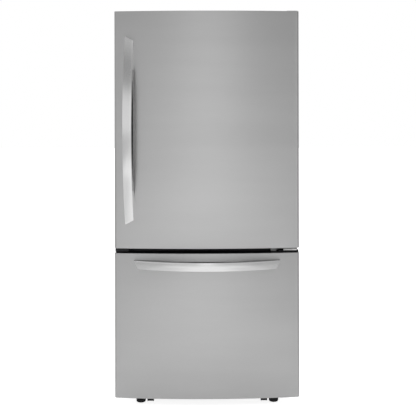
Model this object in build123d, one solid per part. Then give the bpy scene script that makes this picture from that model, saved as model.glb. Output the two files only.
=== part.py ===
from build123d import *

import os
from math import asin, degrees, pi, radians, sqrt, tan

# A bottom freezer refrigerator, 33 inch class: one swinging fridge door above one pull-out freezer drawer.
# Millimetres. +Z is up, the front faces -Y, +X is to the right of someone facing the front.
# The origin is on the floor, under the middle of the whole object.

# ---------------------------------------------------------------- driving sizes: outside
CABINET_WIDTH = 822.0
DOOR_OVERHANG = 2.0  # how far both fronts stand out past the cabinet's sides
DOOR_TOP = 1770.0
DRAWER_TOP = 689.0
DRAWER_BOTTOM = 42.5
FRONT_GAP = 21.5  # between the drawer's top and the door's bottom
DOOR_EDGE = 60.0  # thickness of both fronts at their side edges
DOOR_CROWN = 26.0  # how far the middle of a front stands out past its side edges
DOOR_CORNER = 9.0  # radius of a front's upright corners
DOOR_RIM = 2.5  # radius of a front's top and bottom edges
GASKET_GAP = 10.0  # between a front and the cabinet

CABINET_DEPTH = 745.0
CABINET_DROP = 27.0  # from the door's top down to the cabinet's
CABINET_BOTTOM = 50.0
CABINET_CORNER = 6.0  # radius of the shell's two long top corners
SHELL_FLANGE = 18.0  # the shell's edge, turned in on the cabinet's front

HANDLE_REACH = 74.0
HANDLE_WIDTH = 39.0
HANDLE_THICKNESS = 16.0
HANDLE_END = 13.0  # how far a handle's ends stand out
HANDLE_CHAMFER = 4.0  # along both edges of a handle's face
HANDLE_SLANT = 27.0  # degrees by which a handle's ends are cut away
HANDLE_LIFT = 0.05  # keeps a handle's flat foot clear of the crowned skin
DOOR_HANDLE_LENGTH = 838.0
DOOR_HANDLE_GAP = 600.0  # length of the finger gap
DOOR_HANDLE_INSET = 70.0  # from the door's edge to the handle's middle
DOOR_HANDLE_LOW = 108.5  # from the door's bottom to the handle's lower end
DRAWER_HANDLE_LENGTH = 651.0
DRAWER_HANDLE_GAP = 450.0
DRAWER_HANDLE_DROP = 48.0  # from the drawer's top to the handle's middle
STUD_R = 5.0
STUD_INSIDE = 24.0  # how deep a handle's studs go into a front
STUD_HIGH = 8.0  # how far they reach into the handle
STUD_FROM_END = 50.0

# ---------------------------------------------------------------- driving sizes: walls
SHEET = 1.0  # steel sheet
LINER = 2.5  # thermoformed liner
PLASTIC = 2.5  # wall of drawers, bins and housings
FRIDGE_SIDE_WALL = 55.0
FREEZER_SIDE_WALL = 62.0
TOP_WALL = 60.0
REAR_WALL = 62.0
FLOOR_WALL = 68.0
MULLION = 68.0  # wall between the two compartments
RAIL_DEPTH = 20.0  # of the steel channel across the mullion's front
RAIL_HEIGHT = 29.0
MACHINE_DEPTH = 230.0
MACHINE_HEIGHT = 240.0
MACHINE_WALL = 55.0

OVER = 1.0  # how far a cut runs past the face that it opens
SEAT = 0.3  # gap under a piece that slides or lifts out
FIT = 0.08  # radial clearance of a pin in its bore
SLIP = 0.1  # clearance of a fixed piece in its pocket
PLAY = 2.0  # side clearance of drawers and shelves

# Hinges
HINGE_INSET = 24.0  # from the door's right edge to the hinge axis
HINGE_DEPTH = 36.0  # from the door's back to the hinge axis
HINGE_PIN_R = 5.0
HINGE_PLATE = 3.0
HINGE_ARM = 5.0  # thickness of the middle hinge's arm
HINGE_EDGE = 8.0  # from the hinge axis to a hinge arm's rounded end
HINGE_GAP = 1.5  # between a hinge arm and the door
HINGE_LEAF = 101.0  # how far the middle hinge runs inward from its axis
DOOR_STOP = 24.0  # width of the block that the middle hinge holds in the gap
DOOR_STOP_DEPTH = 38.0
PIN_DEPTH = 16.0  # length of pin inside the door
BUSH_WALL = 5.0
HINGE_COVER_RISE = 8.0  # from the door's top to the cover's
HINGE_NOSE_RISE = 5.2  # from the door's top to the top of the cover's flat nose
HINGE_COVER_LENGTH = 150.0
HINGE_COVER_WALL = 1.2

# Door and drawer linings
CAP = 10.0  # thickness of the end caps
CAP_LIP = 8.0  # how far the skin is turned over an end cap
PILLAR = 25.0  # width of the door liner's raised sides
PILLAR_INSET = 68.0  # from the door's edge to a pillar's outer face
PILLAR_DEPTH = 45.0
PILLAR_MARGIN = 20.0  # from the compartment's ceiling and floor to the pillars' ends
GASKET_WIDTH = 18.0
GASKET_INSET = 28.0  # from the door's edge to the gasket
GASKET_GROOVE = 3.0
GASKET_MARGIN = 3.5  # from the compartment's ceiling or floor to the gasket's inner edge

# Door bins
BIN_DEPTH = 122.0
BIN_HEIGHT = 105.0
LOWER_BIN = 30.0  # from the fridge's floor to the lower bin
UPPER_BIN = 370.0  # from the fridge's floor to the upper bin
DAIRY_DROP = 252.0  # from the fridge's ceiling down to the dairy bin's bottom
DAIRY_FRONT = 45.0  # height of the dairy bin's front wall
DAIRY_PIN_R = 3.0
DAIRY_PIN_INSET = 12.0
BOSS = 8.0  # size of the small ledges that carry the bins
BIN_CORNER = 12.0

# Fridge drawers and shelves
FRONT_ROOM = 140.0  # from the cabinet's front to the shelves' front edges
REAR_ROOM = 50.0  # from the rear liner to the shelves' back edges
CRISPER_HEIGHT = 196.0
CRISPER_FRONT = 12.0  # how far a crisper's face stands out past the shelves
CRISPER_GRIP = 16.0
CRISPER_GAP = 10.0  # between the two crispers
CRISPER_ROOM = 6.0  # between a crisper and its cover
COVER_HEIGHT = 22.0
SHELF_HEIGHT = 18.0
SHELF_BAR = 30.0  # width of a shelf frame's bars
SHELF_LEDGE = 9.0  # how far the liners' ledges stand in
LEDGE_HEIGHT = 12.0
GLASS = 4.0
GLASS_REST = 8.0  # how much of the glass lies on its frame
LOWER_SHELF = 232.0  # from the crisper cover's top to the lower shelf's top
UPPER_SHELF = 464.0
SLIDER_LENGTH = 24.0
SLIDER_HEIGHT = 9.0
SLIDER_TRAVEL = 16.0
SLIDER_DEPTH = 5.0
SLIDER_KNOB = 3.0  # how far a slider stands out of its groove
DUCT_WIDTH = 172.0
DUCT_DEPTH = 28.0
DUCT_NECK = 100.0
DUCT_TOP_ROOM = 30.0
DUCT_SLOT = (50.0, 8.0)
FLAP = 2.0
FLAP_PIN_R = 2.5
PANEL_WIDTH = 240.0
PANEL_DEPTH = 90.0
PANEL_HEIGHT = 26.0
PANEL_SETBACK = 60.0
BUTTON = (20.0, 9.0, 10.0)

# Freezer
SLIDE_LOW = 32.0  # from the freezer's floor to the slides
SLIDE_HEIGHT = 46.0
SLIDE_WIDTH = 12.0
SLIDE_WALL = 1.8
SLIDE_GAP = 0.5
SLIDE_SETBACK = 8.0
SLIDE_ROOM = 22.0  # from the slides' rear ends to the freezer's lower rear wall
ARM = 3.0  # thickness of the drawer frame's arms
ARM_BRACKET = 33.0
ARM_BRACKET_HEIGHT = 180.0
CROSS_BAR = 12.0
BASKET_HEIGHT = 228.0
BASKET_ROOM = 19.0  # from the basket to the freezer's lower rear wall
BASKET_PLAY = 6.0
BASKET_SLOT_COLUMNS = 8
BASKET_SLOT_ROWS = 3
BASKET_SLOT_PITCH = (70.0, 60.0)
TRAY_HEIGHT = 108.0
TRAY_ROOM = 12.0  # between basket and tray
TRAY_RIM = 4.0
DYKE_DEPTH = 25.0  # how far the drawer's liner stands in
DYKE_INSET = 117.0  # from the front's edge to the dyke
DYKE_MARGIN = 22.0
COOLER_ROOM = 75.0  # between the evaporator's cover and the rear liner
RETURN_SLOTS = 7
RETURN_PITCH = 75.0
EVAPORATOR_WIDTH = 480.0
EVAPORATOR_PITCH = 26.0
EVAPORATOR_TUBE_R = 4.0
FIN_COUNT = 14
FIN = 1.0
FREEZER_FAN_R = 54.0
FAN_MARGIN = 18.0  # from the freezer's ceiling to the fan's blades
GEAR_MODULE = 2.0
GEAR_TEETH = 14
PRESSURE_ANGLE = 20.0
TOOTH_SINK = 1.0  # how far a tooth's foot goes into its wheel or rack
FOOT_RELIEF = 0.5  # share of the straight flank's slope that a pinion's tooth keeps below the pitch line
TIP_RELIEF = 0.8  # and above it
GEAR_WIDTH = 8.0
GEAR_THINNING = 0.9  # taken off each tooth's thickness
BAR_R = 5.0
BAR_SETBACK = 24.0  # from the arms' rear ends to the stabiliser bar
RACK_HEIGHT = 17.0  # from the freezer's floor to the rack's tooth roots
RACK_BODY = 9.0

# Machine compartment
BASE_SHEET = 1.5
CONDENSER_TUBE_R = 3.5
CONDENSER_PITCH = 22.0
CONDENSER_ROWS = 3
CONDENSER_LENGTH = 260.0
MACHINE_FAN_R = 74.0
FAN_HUB_R = 17.0
FAN_HUB = 22.0
FAN_BLADES = 5
FAN_SOLIDITY = 0.62  # share of a full turn that the blades cover
FAN_HUB_ROUND = 4.4
FAN_PITCH = 32.0  # degrees by which a blade is turned
FAN_ARMS = 3
FAN_ARM = 4.0  # thickness of the arms that carry a fan's motor, and half their width
FAN_SHAFT_R = 3.0
FAN_TIP_GAP = 4.0
FAN_RIM = 6.0  # how far a fan's legs stand out past its blades
MOTOR_R = 22.0
MOTOR = 34.0
COMPRESSOR_R = 66.0
COMPRESSOR_HEIGHT = 148.0
COMPRESSOR_INSET = 201.0  # from the cabinet's right side to the compressor's axis
COMPRESSOR_FOOT = 178.2  # width of its foot plate
MOUNT_R = 12.0
MOUNT = 14.0
PAN_HEIGHT = 36.0
LOUVRE = (90.0, 5.0)
LOUVRE_PITCH = 14.0
LOUVRE_ROWS = 11
LOUVRE_COLUMNS = 5
LOUVRE_SPACING = 121.5
COVER_SET = 3.0  # how far the machine cover lies in from the back
GLAND_R = 11.0
GLAND_BORE_R = 4.5
GLAND_NECK = 6.0  # how far the gland reaches in through the cover

# Feet and rollers
FOOT_R = 21.5
FOOT_HEIGHT = 24.0
FOOT_ROUND = 9.0
FOOT_INSET = 109.0  # from the cabinet's side to the foot's axis
FOOT_SETBACK = 6.5  # from the cabinet's front to the foot's axis
STEM_R = 6.0
LEG_BOSS_R = 11.0
LEG_BOSS = 16.0
FRONT_ROLLER_INSET = 153.0
FRONT_ROLLER_R = 18.0
FRONT_ROLLER_WIDTH = 29.0
FRONT_ROLLER_SETBACK = 9.0
FRONT_ROLLER_LIFT = 1.5  # the front rollers clear the floor once the feet are down
REAR_ROLLER_INSET = 71.0
REAR_ROLLER_R = 20.0
REAR_ROLLER_WIDTH = 24.0
REAR_ROLLER_SETBACK = 62.0
AXLE_R = 4.0
EAR = 2.0
EAR_GAP = 0.8
ROLLER_ROUND = 3.0

# ---------------------------------------------------------------- places worked out from the sizes
TOTAL_DEPTH = CABINET_DEPTH + GASKET_GAP + DOOR_EDGE + DOOR_CROWN + HANDLE_LIFT + HANDLE_REACH
BACK = TOTAL_DEPTH / 2
FRONT = BACK - CABINET_DEPTH  # the cabinet's front plane
DOOR_BACK = FRONT - GASKET_GAP
DOOR_CREST = DOOR_BACK - DOOR_EDGE - DOOR_CROWN
DOOR_WIDTH = CABINET_WIDTH + 2 * DOOR_OVERHANG
DOOR_BOTTOM = DRAWER_TOP + FRONT_GAP
CABINET_TOP = DOOR_TOP - CABINET_DROP
HALF_DOOR = DOOR_WIDTH / 2
HALF_CABINET = CABINET_WIDTH / 2
CROWN_R = (HALF_DOOR**2 + DOOR_CROWN**2) / (2 * DOOR_CROWN)

MULLION_MIDDLE = (DOOR_BOTTOM + DRAWER_TOP) / 2
FREEZER_CEILING = MULLION_MIDDLE - MULLION / 2
FRIDGE_FLOOR = MULLION_MIDDLE + MULLION / 2
FRIDGE_CEILING = CABINET_TOP - TOP_WALL
FREEZER_FLOOR = CABINET_BOTTOM + FLOOR_WALL
FRIDGE_HALF = HALF_CABINET - FRIDGE_SIDE_WALL
FREEZER_HALF = HALF_CABINET - FREEZER_SIDE_WALL
REAR = BACK - REAR_WALL  # the liners' rear wall, inside
MACHINE_FRONT = BACK - MACHINE_DEPTH
MACHINE_TOP = CABINET_BOTTOM + MACHINE_HEIGHT
STEP_Y = MACHINE_FRONT - MACHINE_WALL  # the freezer's lower rear wall
STEP_Z = MACHINE_TOP + MACHINE_WALL  # the freezer's raised floor over the machine compartment
PLATE_TOP = CABINET_BOTTOM + BASE_SHEET
INNER_HALF = HALF_CABINET - SHEET

HINGE_X = HALF_DOOR - HINGE_INSET
HINGE_Y = DOOR_BACK - HINGE_DEPTH
HINGE_COVER_TOP = DOOR_TOP + HINGE_COVER_RISE
HINGE_COVER_LOW = DOOR_TOP + HINGE_NOSE_RISE
ARM_TOP = DOOR_BOTTOM - HINGE_GAP  # the middle hinge's arm
PILLAR_X = HALF_DOOR - PILLAR_INSET
PILLAR_IN = PILLAR_X - PILLAR
PILLAR_LOW = FRIDGE_FLOOR + PILLAR_MARGIN
PILLAR_HIGH = FRIDGE_CEILING - PILLAR_MARGIN
DOOR_HANDLE_X = DOOR_HANDLE_INSET - HALF_DOOR
BIN_LOWS = (FRIDGE_FLOOR + LOWER_BIN, FRIDGE_FLOOR + UPPER_BIN, FRIDGE_CEILING - DAIRY_DROP)

PANEL_FRONT = FRONT + PANEL_SETBACK
SHELF_FRONT = FRONT + FRONT_ROOM
SHELF_REAR = REAR - REAR_ROOM
CRISPER_LOW = FRIDGE_FLOOR + SEAT
CRISPER_COVER = CRISPER_LOW + CRISPER_HEIGHT + CRISPER_ROOM
COVER_TOP = CRISPER_COVER + COVER_HEIGHT
SHELF_HALF = FRIDGE_HALF - PLAY
CRISPER_HALF = FRIDGE_HALF - SHELF_LEDGE - PLAY
SHELF_TOPS = (COVER_TOP + LOWER_SHELF, COVER_TOP + UPPER_SHELF)
SLIDER_X = SHELF_HALF / 2
SLIDER_Z = COVER_TOP - COVER_HEIGHT / 2

SLIDE_Z = (FREEZER_FLOOR + SLIDE_LOW, FREEZER_FLOOR + SLIDE_LOW + SLIDE_HEIGHT)
SLIDE_Y = (FRONT + SLIDE_SETBACK, STEP_Y - SLIDE_ROOM)
RAIL_X = FREEZER_HALF - SLIDE_WIDTH
MEMBER_X = (RAIL_X - SLIDE_GAP, FREEZER_HALF - SLIDE_WALL - SLIDE_GAP)
ARM_X = MEMBER_X[0] - SLIDE_GAP - ARM
GEAR_R = GEAR_MODULE * GEAR_TEETH / 2
GEAR_PITCH = pi * GEAR_MODULE
GEAR_ROOT = 1.25 * GEAR_MODULE
PITCH_LINE = FREEZER_FLOOR + RACK_HEIGHT + GEAR_ROOT
GEAR_Z = PITCH_LINE + GEAR_R
GEAR_X = (ARM_X - 2 * SLIDE_GAP - GEAR_WIDTH, ARM_X - 2 * SLIDE_GAP)
GEAR_Y = SLIDE_Y[1] - BAR_SETBACK
BASKET_LOW = GEAR_Z + GEAR_R + GEAR_MODULE + BASKET_PLAY
BASKET_FRONT = DOOR_BACK + DYKE_DEPTH + BASKET_PLAY
BASKET_DEPTH = STEP_Y - BASKET_ROOM - BASKET_FRONT
BASKET_TOP = BASKET_LOW + BASKET_HEIGHT
TRAY_LOW = BASKET_TOP + TRAY_ROOM
TRAY_TOP = TRAY_LOW + TRAY_HEIGHT
COOLER_FRONT = REAR - COOLER_ROOM
FAN_Z = FREEZER_CEILING - FREEZER_FAN_R - FAN_MARGIN
COIL_ROOM = FAN_Z - FREEZER_FAN_R - FAN_RIM - STEP_Z - EVAPORATOR_PITCH / 2
EVAPORATOR_PASSES = int(COIL_ROOM / EVAPORATOR_PITCH)

MACHINE_HALF = MACHINE_DEPTH / 2 - 3 * PLASTIC  # half the depth of the shroud and the pan
MACHINE_Y = (MACHINE_FRONT + BACK) / 2 - COVER_SET
COMPRESSOR_X = HALF_CABINET - COMPRESSOR_INSET
MACHINE_FAN_X = COMPRESSOR_X - COMPRESSOR_R - MACHINE_FAN_R
MACHINE_FAN_Z = PLATE_TOP + PAN_HEIGHT + MACHINE_FAN_R + 2 * FAN_TIP_GAP
CONDENSER_X = MACHINE_FAN_X - CONDENSER_LENGTH / 2 - 3 * CONDENSER_PITCH
CONDENSER_PASSES = int((MACHINE_TOP - PLATE_TOP - PAN_HEIGHT - CONDENSER_PITCH) / CONDENSER_PITCH)

FOOT_X = HALF_CABINET - FOOT_INSET
FRONT_ROLLER_X = HALF_CABINET - FRONT_ROLLER_INSET
REAR_ROLLER_X = HALF_CABINET - REAR_ROLLER_INSET


# ---------------------------------------------------------------- helpers
def block(x, y, z):
    """A box between the low and high values of each axis."""
    size = [high - low for low, high in (x, y, z)]
    middle = [(high + low) / 2 for low, high in (x, y, z)]
    return Pos(*middle) * Box(*size)


def rod_x(x, y, z, radius):
    """A round rod along X between the two values of x."""
    return Pos((x[0] + x[1]) / 2, y, z) * Rot(0, 90, 0) * Cylinder(radius, x[1] - x[0])


def rod_y(x, y, z, radius):
    """A round rod along Y between the two values of y."""
    return Pos(x, (y[0] + y[1]) / 2, z) * Rot(90, 0, 0) * Cylinder(radius, y[1] - y[0])


def rod_z(x, y, z, radius):
    """A round rod along Z between the two values of z."""
    return Pos(x, y, (z[0] + z[1]) / 2) * Cylinder(radius, z[1] - z[0])


def mirrored(shape):
    """The same shape on the other side of the object."""
    return mirror(shape, about=Plane.YZ)


def grown(span, amount):
    """A pair of low and high values, moved apart by amount at both ends."""
    return span[0] - amount, span[1] + amount


def spread(count, pitch, middle=0.0):
    """Evenly spaced values about a middle."""
    return [middle + (i - (count - 1) / 2) * pitch for i in range(count)]


def open_box(x, y, z, wall, corner):
    """A drawer or bin: a box with an open top and rounded upright corners."""
    outer = block(x, y, z)
    outer = fillet(outer.edges().filter_by(Axis.Z), corner)
    inner = block(grown(x, -wall), grown(y, -wall), (z[0] + wall, z[1] + OVER))
    return outer - fillet(inner.edges().filter_by(Axis.Z), corner - wall)


def serpentine(half, y, heights, radius):
    """A tube that runs to and fro along X, with a half ring at each turn."""
    pitch = heights[1] - heights[0]
    tube = Part() + [rod_x((-half, half), y, z, radius) for z in heights]
    for i, z in enumerate(heights[:-1]):
        side = 1 if i % 2 == 0 else -1
        turn = Plane(origin=(side * half, y, z + pitch / 2), x_dir=(0, 0, side), z_dir=(0, 1, 0))
        tube += turn * Torus(pitch / 2, radius, major_angle=180)
    return tube


def fan(radius):
    """A fan around the Z axis, centred on the origin: a hub and pitched blades."""
    hub = Cylinder(FAN_HUB_R, FAN_HUB)
    hub = fillet(hub.edges().group_by(Axis.Z)[-1], FAN_HUB_ROUND)
    span = radius - FAN_HUB_R / 2
    width = 2 * pi * radius / FAN_BLADES * FAN_SOLIDITY
    blade = Pos(FAN_HUB_R / 2 + span / 2, 0, 0) * Rot(FAN_PITCH, 0, 0) * Box(span, width, PLASTIC)
    blade &= Cylinder(radius, FAN_HUB)
    blades = [Rot(0, 0, 360 / FAN_BLADES * i) * blade for i in range(FAN_BLADES)]
    bore = Cylinder(FAN_SHAFT_R + FIT, 2 * FAN_HUB)
    return Part() + hub + blades - bore


# ---------------------------------------------------------------- the fronts of door and drawer
def surface_y(x):
    """The fronts' outer surface at x."""
    return DOOR_CREST + crown_drop(x, CROWN_R)


def crown_drop(along, crown_r):
    """How far a crowned surface falls back at a distance from its crest; a flat one has no radius."""
    return crown_r - sqrt(crown_r**2 - along**2) if crown_r else 0.0


def front_plan(inset, back):
    """The outline of a front seen from above, drawn in by inset on its face and sides."""
    half = HALF_DOOR - inset
    crest = DOOR_CREST + inset
    edge = crest + crown_drop(half, CROWN_R - inset)
    outline = Curve() + [
        Line((-half, back), (half, back)),
        Line((half, back), (half, edge)),
        ThreePointArc((half, edge), (0, crest), (-half, edge)),
        Line((-half, edge), (-half, back)),
    ]
    face = make_face(outline)
    corners = [v for v in face.vertices() if v.Y < back - DOOR_EDGE / 2]
    return fillet(corners, max(DOOR_CORNER - inset, DOOR_CORNER / 4))


def front_solid(inset, back, low, high):
    """A front's outline, drawn in by inset, raised between two heights."""
    return Pos(0, 0, low) * extrude(front_plan(inset, back), high - low, dir=(0, 0, 1))


def front_skin(low, high):
    """The stainless skin: crowned face, sides, and lips turned over the end caps."""
    outer = front_solid(0, DOOR_BACK, low, high)
    ends = outer.edges().group_by(Axis.Z)
    rims = [e for e in ends[0] + ends[-1] if e.center().Y < DOOR_BACK - DOOR_CORNER / 2]
    outer = fillet(rims, DOOR_RIM)
    inside = front_solid(SHEET, DOOR_BACK + OVER, low + SHEET, high - SHEET)
    opening = front_solid(CAP_LIP, DOOR_BACK + OVER, low - OVER, high + OVER)
    return outer - inside - opening


def cap_spans(low, high):
    """The heights between which a front's two end caps lie, inside the skin's lips."""
    edge = SHEET + SLIP
    return (low + edge, low + edge + CAP), (high - edge - CAP, high - edge)


def front_core(low, high):
    """The heights between which a front's foam and liner lie."""
    caps = cap_spans(low, high)
    return caps[0][1], caps[1][0]


def front_insulation(low, high):
    """The foam between skin, end caps and liner."""
    return front_solid(SHEET, DOOR_BACK - LINER, *front_core(low, high))


def front_liner(low, high):
    """The flat sheet that closes a front's back."""
    half = HALF_DOOR - SHEET - SLIP
    return block((-half, half), (DOOR_BACK - LINER, DOOR_BACK), front_core(low, high))


def gasket(low, high):
    """The magnetic seal: a frame around the compartment with a bellows groove round its outside."""
    y = (DOOR_BACK, FRONT - SEAT)
    z = (low, high)
    side = HALF_DOOR - GASKET_INSET
    x = (-side, side)
    ring = block(x, y, z) - block(grown(x, -GASKET_WIDTH), grown(y, OVER), grown(z, -GASKET_WIDTH))
    middle = (y[0] + y[1]) / 2
    slit = grown((middle, middle), GASKET_GROOVE / 2)
    core = block(grown(x, -GASKET_GROOVE), grown(slit, OVER), grown(z, -GASKET_GROOVE))
    return ring - (block(grown(x, OVER), slit, grown(z, OVER)) - core)


# ---------------------------------------------------------------- handles
def handle_profile(length, gap, crown_r):
    """The side view of a handle: an arch on its surface, with the finger gap under it."""
    half = length / 2
    reach = gap / 2
    foot = -crown_drop(half, crown_r)
    heel = -crown_drop(reach, crown_r)
    arch = ThreePointArc((-half, foot + HANDLE_END), (0, HANDLE_REACH), (half, foot + HANDLE_END))
    if crown_r:
        base = ThreePointArc((half, foot), (0, 0), (-half, foot))
    else:
        base = Line((half, foot), (-half, foot))
    sides = [Line((half, foot + HANDLE_END), (half, foot)), Line((-half, foot), (-half, foot + HANDLE_END))]
    body = make_face(Curve() + [arch, sides[0], base, sides[1]])
    below = heel - HANDLE_REACH
    inner = ThreePointArc((-reach, heel), (0, HANDLE_REACH - HANDLE_THICKNESS), (reach, heel))
    rest = Polyline((reach, heel), (reach, below), (-reach, below), (-reach, heel))
    return body - make_face(Curve() + [inner, rest])


def handle_bar(length, gap, crown_r):
    """An arched bar lying along X, standing out along +Z, with its longer edge on the +Y side."""
    half = length / 2
    wide = HANDLE_WIDTH / 2
    bar = extrude(Plane.XZ * handle_profile(length + 2 * HANDLE_CHAMFER, gap, crown_r), wide, both=True)
    long_edges = [e for e in bar.edges() if e.length > gap / 2 and abs(e.center().Y) > wide / 2]
    bar = chamfer([e for e in long_edges if e.center().Z > HANDLE_END], HANDLE_CHAMFER)
    slope = tan(radians(HANDLE_SLANT))
    for side in (-1, 1):
        corner = Polyline(
            (side * (half + slope * OVER), wide + OVER),
            (side * (half + HANDLE_WIDTH), wide + OVER),
            (side * (half + HANDLE_WIDTH), -wide - OVER),
            (side * (half - slope * (HANDLE_WIDTH + OVER)), -wide - OVER),
            close=True,
        )
        bar -= Pos(0, 0, -HANDLE_REACH) * extrude(make_face(corner), 3 * HANDLE_REACH, dir=(0, 0, 1))
    return bar


def handle_studs(length, crown_r, spare=0.0):
    """The shoulder studs that hold a handle, wider and longer by spare."""
    studs = []
    for side in (-1, 1):
        along = side * (length / 2 - STUD_FROM_END)
        drop = crown_drop(along, crown_r)
        span = (-drop - STUD_INSIDE - spare, -drop + STUD_HIGH + spare)
        studs.append(rod_z(along, 0, span, STUD_R + spare))
    return studs


def on_door(shape):
    """Carries a handle's pieces to the door: upright, with the longer edge outward."""
    tilt = degrees(asin(DOOR_HANDLE_X / CROWN_R))
    middle = DOOR_BOTTOM + DOOR_HANDLE_LOW + DOOR_HANDLE_LENGTH / 2
    place = Pos(DOOR_HANDLE_X, surface_y(DOOR_HANDLE_X), middle) * Rot(0, 0, tilt)
    frame = Plane(origin=(0, -HANDLE_LIFT, 0), x_dir=(0, 0, 1), z_dir=(0, -1, 0))
    return place * (frame * shape)


def on_drawer(shape):
    """Carries a handle's pieces to the drawer: level, with the longer edge up."""
    middle = DRAWER_TOP - DRAWER_HANDLE_DROP
    frame = Plane(origin=(0, DOOR_CREST - HANDLE_LIFT, middle), x_dir=(1, 0, 0), z_dir=(0, -1, 0))
    return frame * shape


def door_handle():
    """The door's upright handle with its studs."""
    bar = handle_bar(DOOR_HANDLE_LENGTH, DOOR_HANDLE_GAP, None)
    return on_door(Part() + bar + handle_studs(DOOR_HANDLE_LENGTH, None))


def drawer_handle():
    """The drawer's level handle with its studs."""
    bar = handle_bar(DRAWER_HANDLE_LENGTH, DRAWER_HANDLE_GAP, CROWN_R)
    return on_drawer(Part() + bar + handle_studs(DRAWER_HANDLE_LENGTH, CROWN_R))


def door_stud_holes():
    """The space that the door handle's studs need in the door."""
    return [on_door(stud) for stud in handle_studs(DOOR_HANDLE_LENGTH, None, SLIP)]


def drawer_stud_holes():
    """The space that the drawer handle's studs need in the drawer's front."""
    return [on_drawer(stud) for stud in handle_studs(DRAWER_HANDLE_LENGTH, CROWN_R, SLIP)]


# ---------------------------------------------------------------- the fridge door
def hinge_bore(low, high):
    """The bore for a hinge pin between two heights."""
    return rod_z(HINGE_X, HINGE_Y, (low, high), HINGE_PIN_R + FIT)


def hinge_bosses():
    """The bosses that both end caps hold round the hinge pins."""
    caps = cap_spans(DOOR_BOTTOM, DOOR_TOP)
    deep = PIN_DEPTH + BUSH_WALL
    radius = HINGE_PIN_R + BUSH_WALL
    low = rod_z(HINGE_X, HINGE_Y, (caps[0][0], DOOR_BOTTOM + deep), radius)
    high = rod_z(HINGE_X, HINGE_Y, (DOOR_TOP - deep, caps[1][1]), radius)
    return low, high


def front_caps(low, high):
    """A front's two end caps, the lower one first."""
    return [front_solid(SHEET + SLIP, DOOR_BACK, *span) for span in cap_spans(low, high)]


def door_caps():
    """The door's end caps with their hinge bosses."""
    caps = front_caps(DOOR_BOTTOM, DOOR_TOP)
    low, high = hinge_bosses()
    low_cap = caps[0] + low - hinge_bore(DOOR_BOTTOM - OVER, DOOR_BOTTOM + PIN_DEPTH + OVER)
    high_cap = caps[1] + high - hinge_bore(DOOR_TOP - PIN_DEPTH - OVER, DOOR_TOP + OVER)
    return Compound([low_cap, high_cap])


def pillar_cores():
    """The space inside the door liner's pillars, which the foam fills."""
    x = grown((PILLAR_IN, PILLAR_X), -LINER)
    y = (DOOR_BACK - LINER, DOOR_BACK + PILLAR_DEPTH - LINER)
    core = block(x, y, grown((PILLAR_LOW, PILLAR_HIGH), -LINER))
    return [core, mirrored(core)]


def door_insulation():
    """The door's foam, with room for the hinge bosses and the handle's studs."""
    foam = front_insulation(DOOR_BOTTOM, DOOR_TOP) + pillar_cores()
    return foam - list(hinge_bosses()) - door_stud_holes()


def door_liner():
    """The door's inner sheet with its two pillars and the ledges that carry the bins."""
    liner = front_liner(DOOR_BOTTOM, DOOR_TOP)
    deep = (DOOR_BACK, DOOR_BACK + PILLAR_DEPTH)
    pillar = block((PILLAR_IN, PILLAR_X), deep, (PILLAR_LOW, PILLAR_HIGH))
    pillar = fillet(pillar.edges().group_by(Axis.Y)[-1], LINER)
    for low in BIN_LOWS:
        pillar += block(
            (PILLAR_IN - BOSS, PILLAR_IN),
            (DOOR_BACK, DOOR_BACK + PILLAR_DEPTH - BOSS),
            (low - SEAT - BOSS, low - SEAT),
        )
    return liner + pillar + mirrored(pillar) - pillar_cores() - list(hinge_bosses())


def door_gasket():
    """The door's seal around the fridge compartment."""
    edge = GASKET_MARGIN + GASKET_WIDTH
    return gasket(FRIDGE_FLOOR - edge, FRIDGE_CEILING + edge)


def bin_space(low, height):
    """The x, y and z that a door bin takes up between the pillars."""
    half = PILLAR_IN - SEAT
    return (-half, half), (DOOR_BACK + SEAT, DOOR_BACK + BIN_DEPTH), (low, low + height)


def door_bin(low):
    """An open bin between the pillars."""
    return open_box(*bin_space(low, BIN_HEIGHT), PLASTIC, BIN_CORNER)


def dairy_pivot():
    """The y and z of the dairy lid's pivot."""
    x, y, z = bin_space(BIN_LOWS[2], BIN_HEIGHT)
    return y[0] + DAIRY_PIN_INSET, z[1] - DAIRY_PIN_INSET


def dairy_bin():
    """The bin under the lid, with a low front and bores for the lid's pins."""
    x, y, z = bin_space(BIN_LOWS[2], BIN_HEIGHT)
    inside = (z[0] + PLASTIC, z[1] + OVER)
    shape = block(x, y, z) - block(grown(x, -PLASTIC), grown(y, -PLASTIC), inside)
    over_front = (z[0] + DAIRY_FRONT, z[1] + OVER)
    shape -= block(grown(x, -PLASTIC), (y[1] - 2 * PLASTIC, y[1] + OVER), over_front)
    pivot_y, pivot_z = dairy_pivot()
    return shape - rod_x(grown(x, OVER), pivot_y, pivot_z, DAIRY_PIN_R + FIT)


def dairy_cover():
    """The clear lid: a top, a front that hangs down, and a pin at each side."""
    x, y, z = bin_space(BIN_LOWS[2], BIN_HEIGHT)
    pivot_y, pivot_z = dairy_pivot()
    wide = grown(x, -PLASTIC - SEAT)
    arm = PLASTIC / 2
    top = block(wide, (pivot_y - DAIRY_PIN_R, y[1]), grown((pivot_z, pivot_z), arm))
    drop = block(wide, (y[1] - PLASTIC, y[1]), (z[0] + DAIRY_FRONT + SEAT, pivot_z + arm))
    pins = rod_x(grown(x, -SEAT), pivot_y, pivot_z, DAIRY_PIN_R)
    return top + drop + pins


# ---------------------------------------------------------------- the freezer drawer
def drawer_caps():
    """The drawer front's end caps."""
    return Compound(front_caps(DRAWER_BOTTOM, DRAWER_TOP))


def dyke(inset):
    """The raised middle of the drawer's liner, drawn in by inset."""
    x = grown((DYKE_INSET - HALF_DOOR, HALF_DOOR - DYKE_INSET), -inset)
    z = grown((FREEZER_FLOOR + DYKE_MARGIN, FREEZER_CEILING - DYKE_MARGIN), -inset)
    return block(x, (DOOR_BACK - LINER, DOOR_BACK + DYKE_DEPTH - inset), z)


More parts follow.
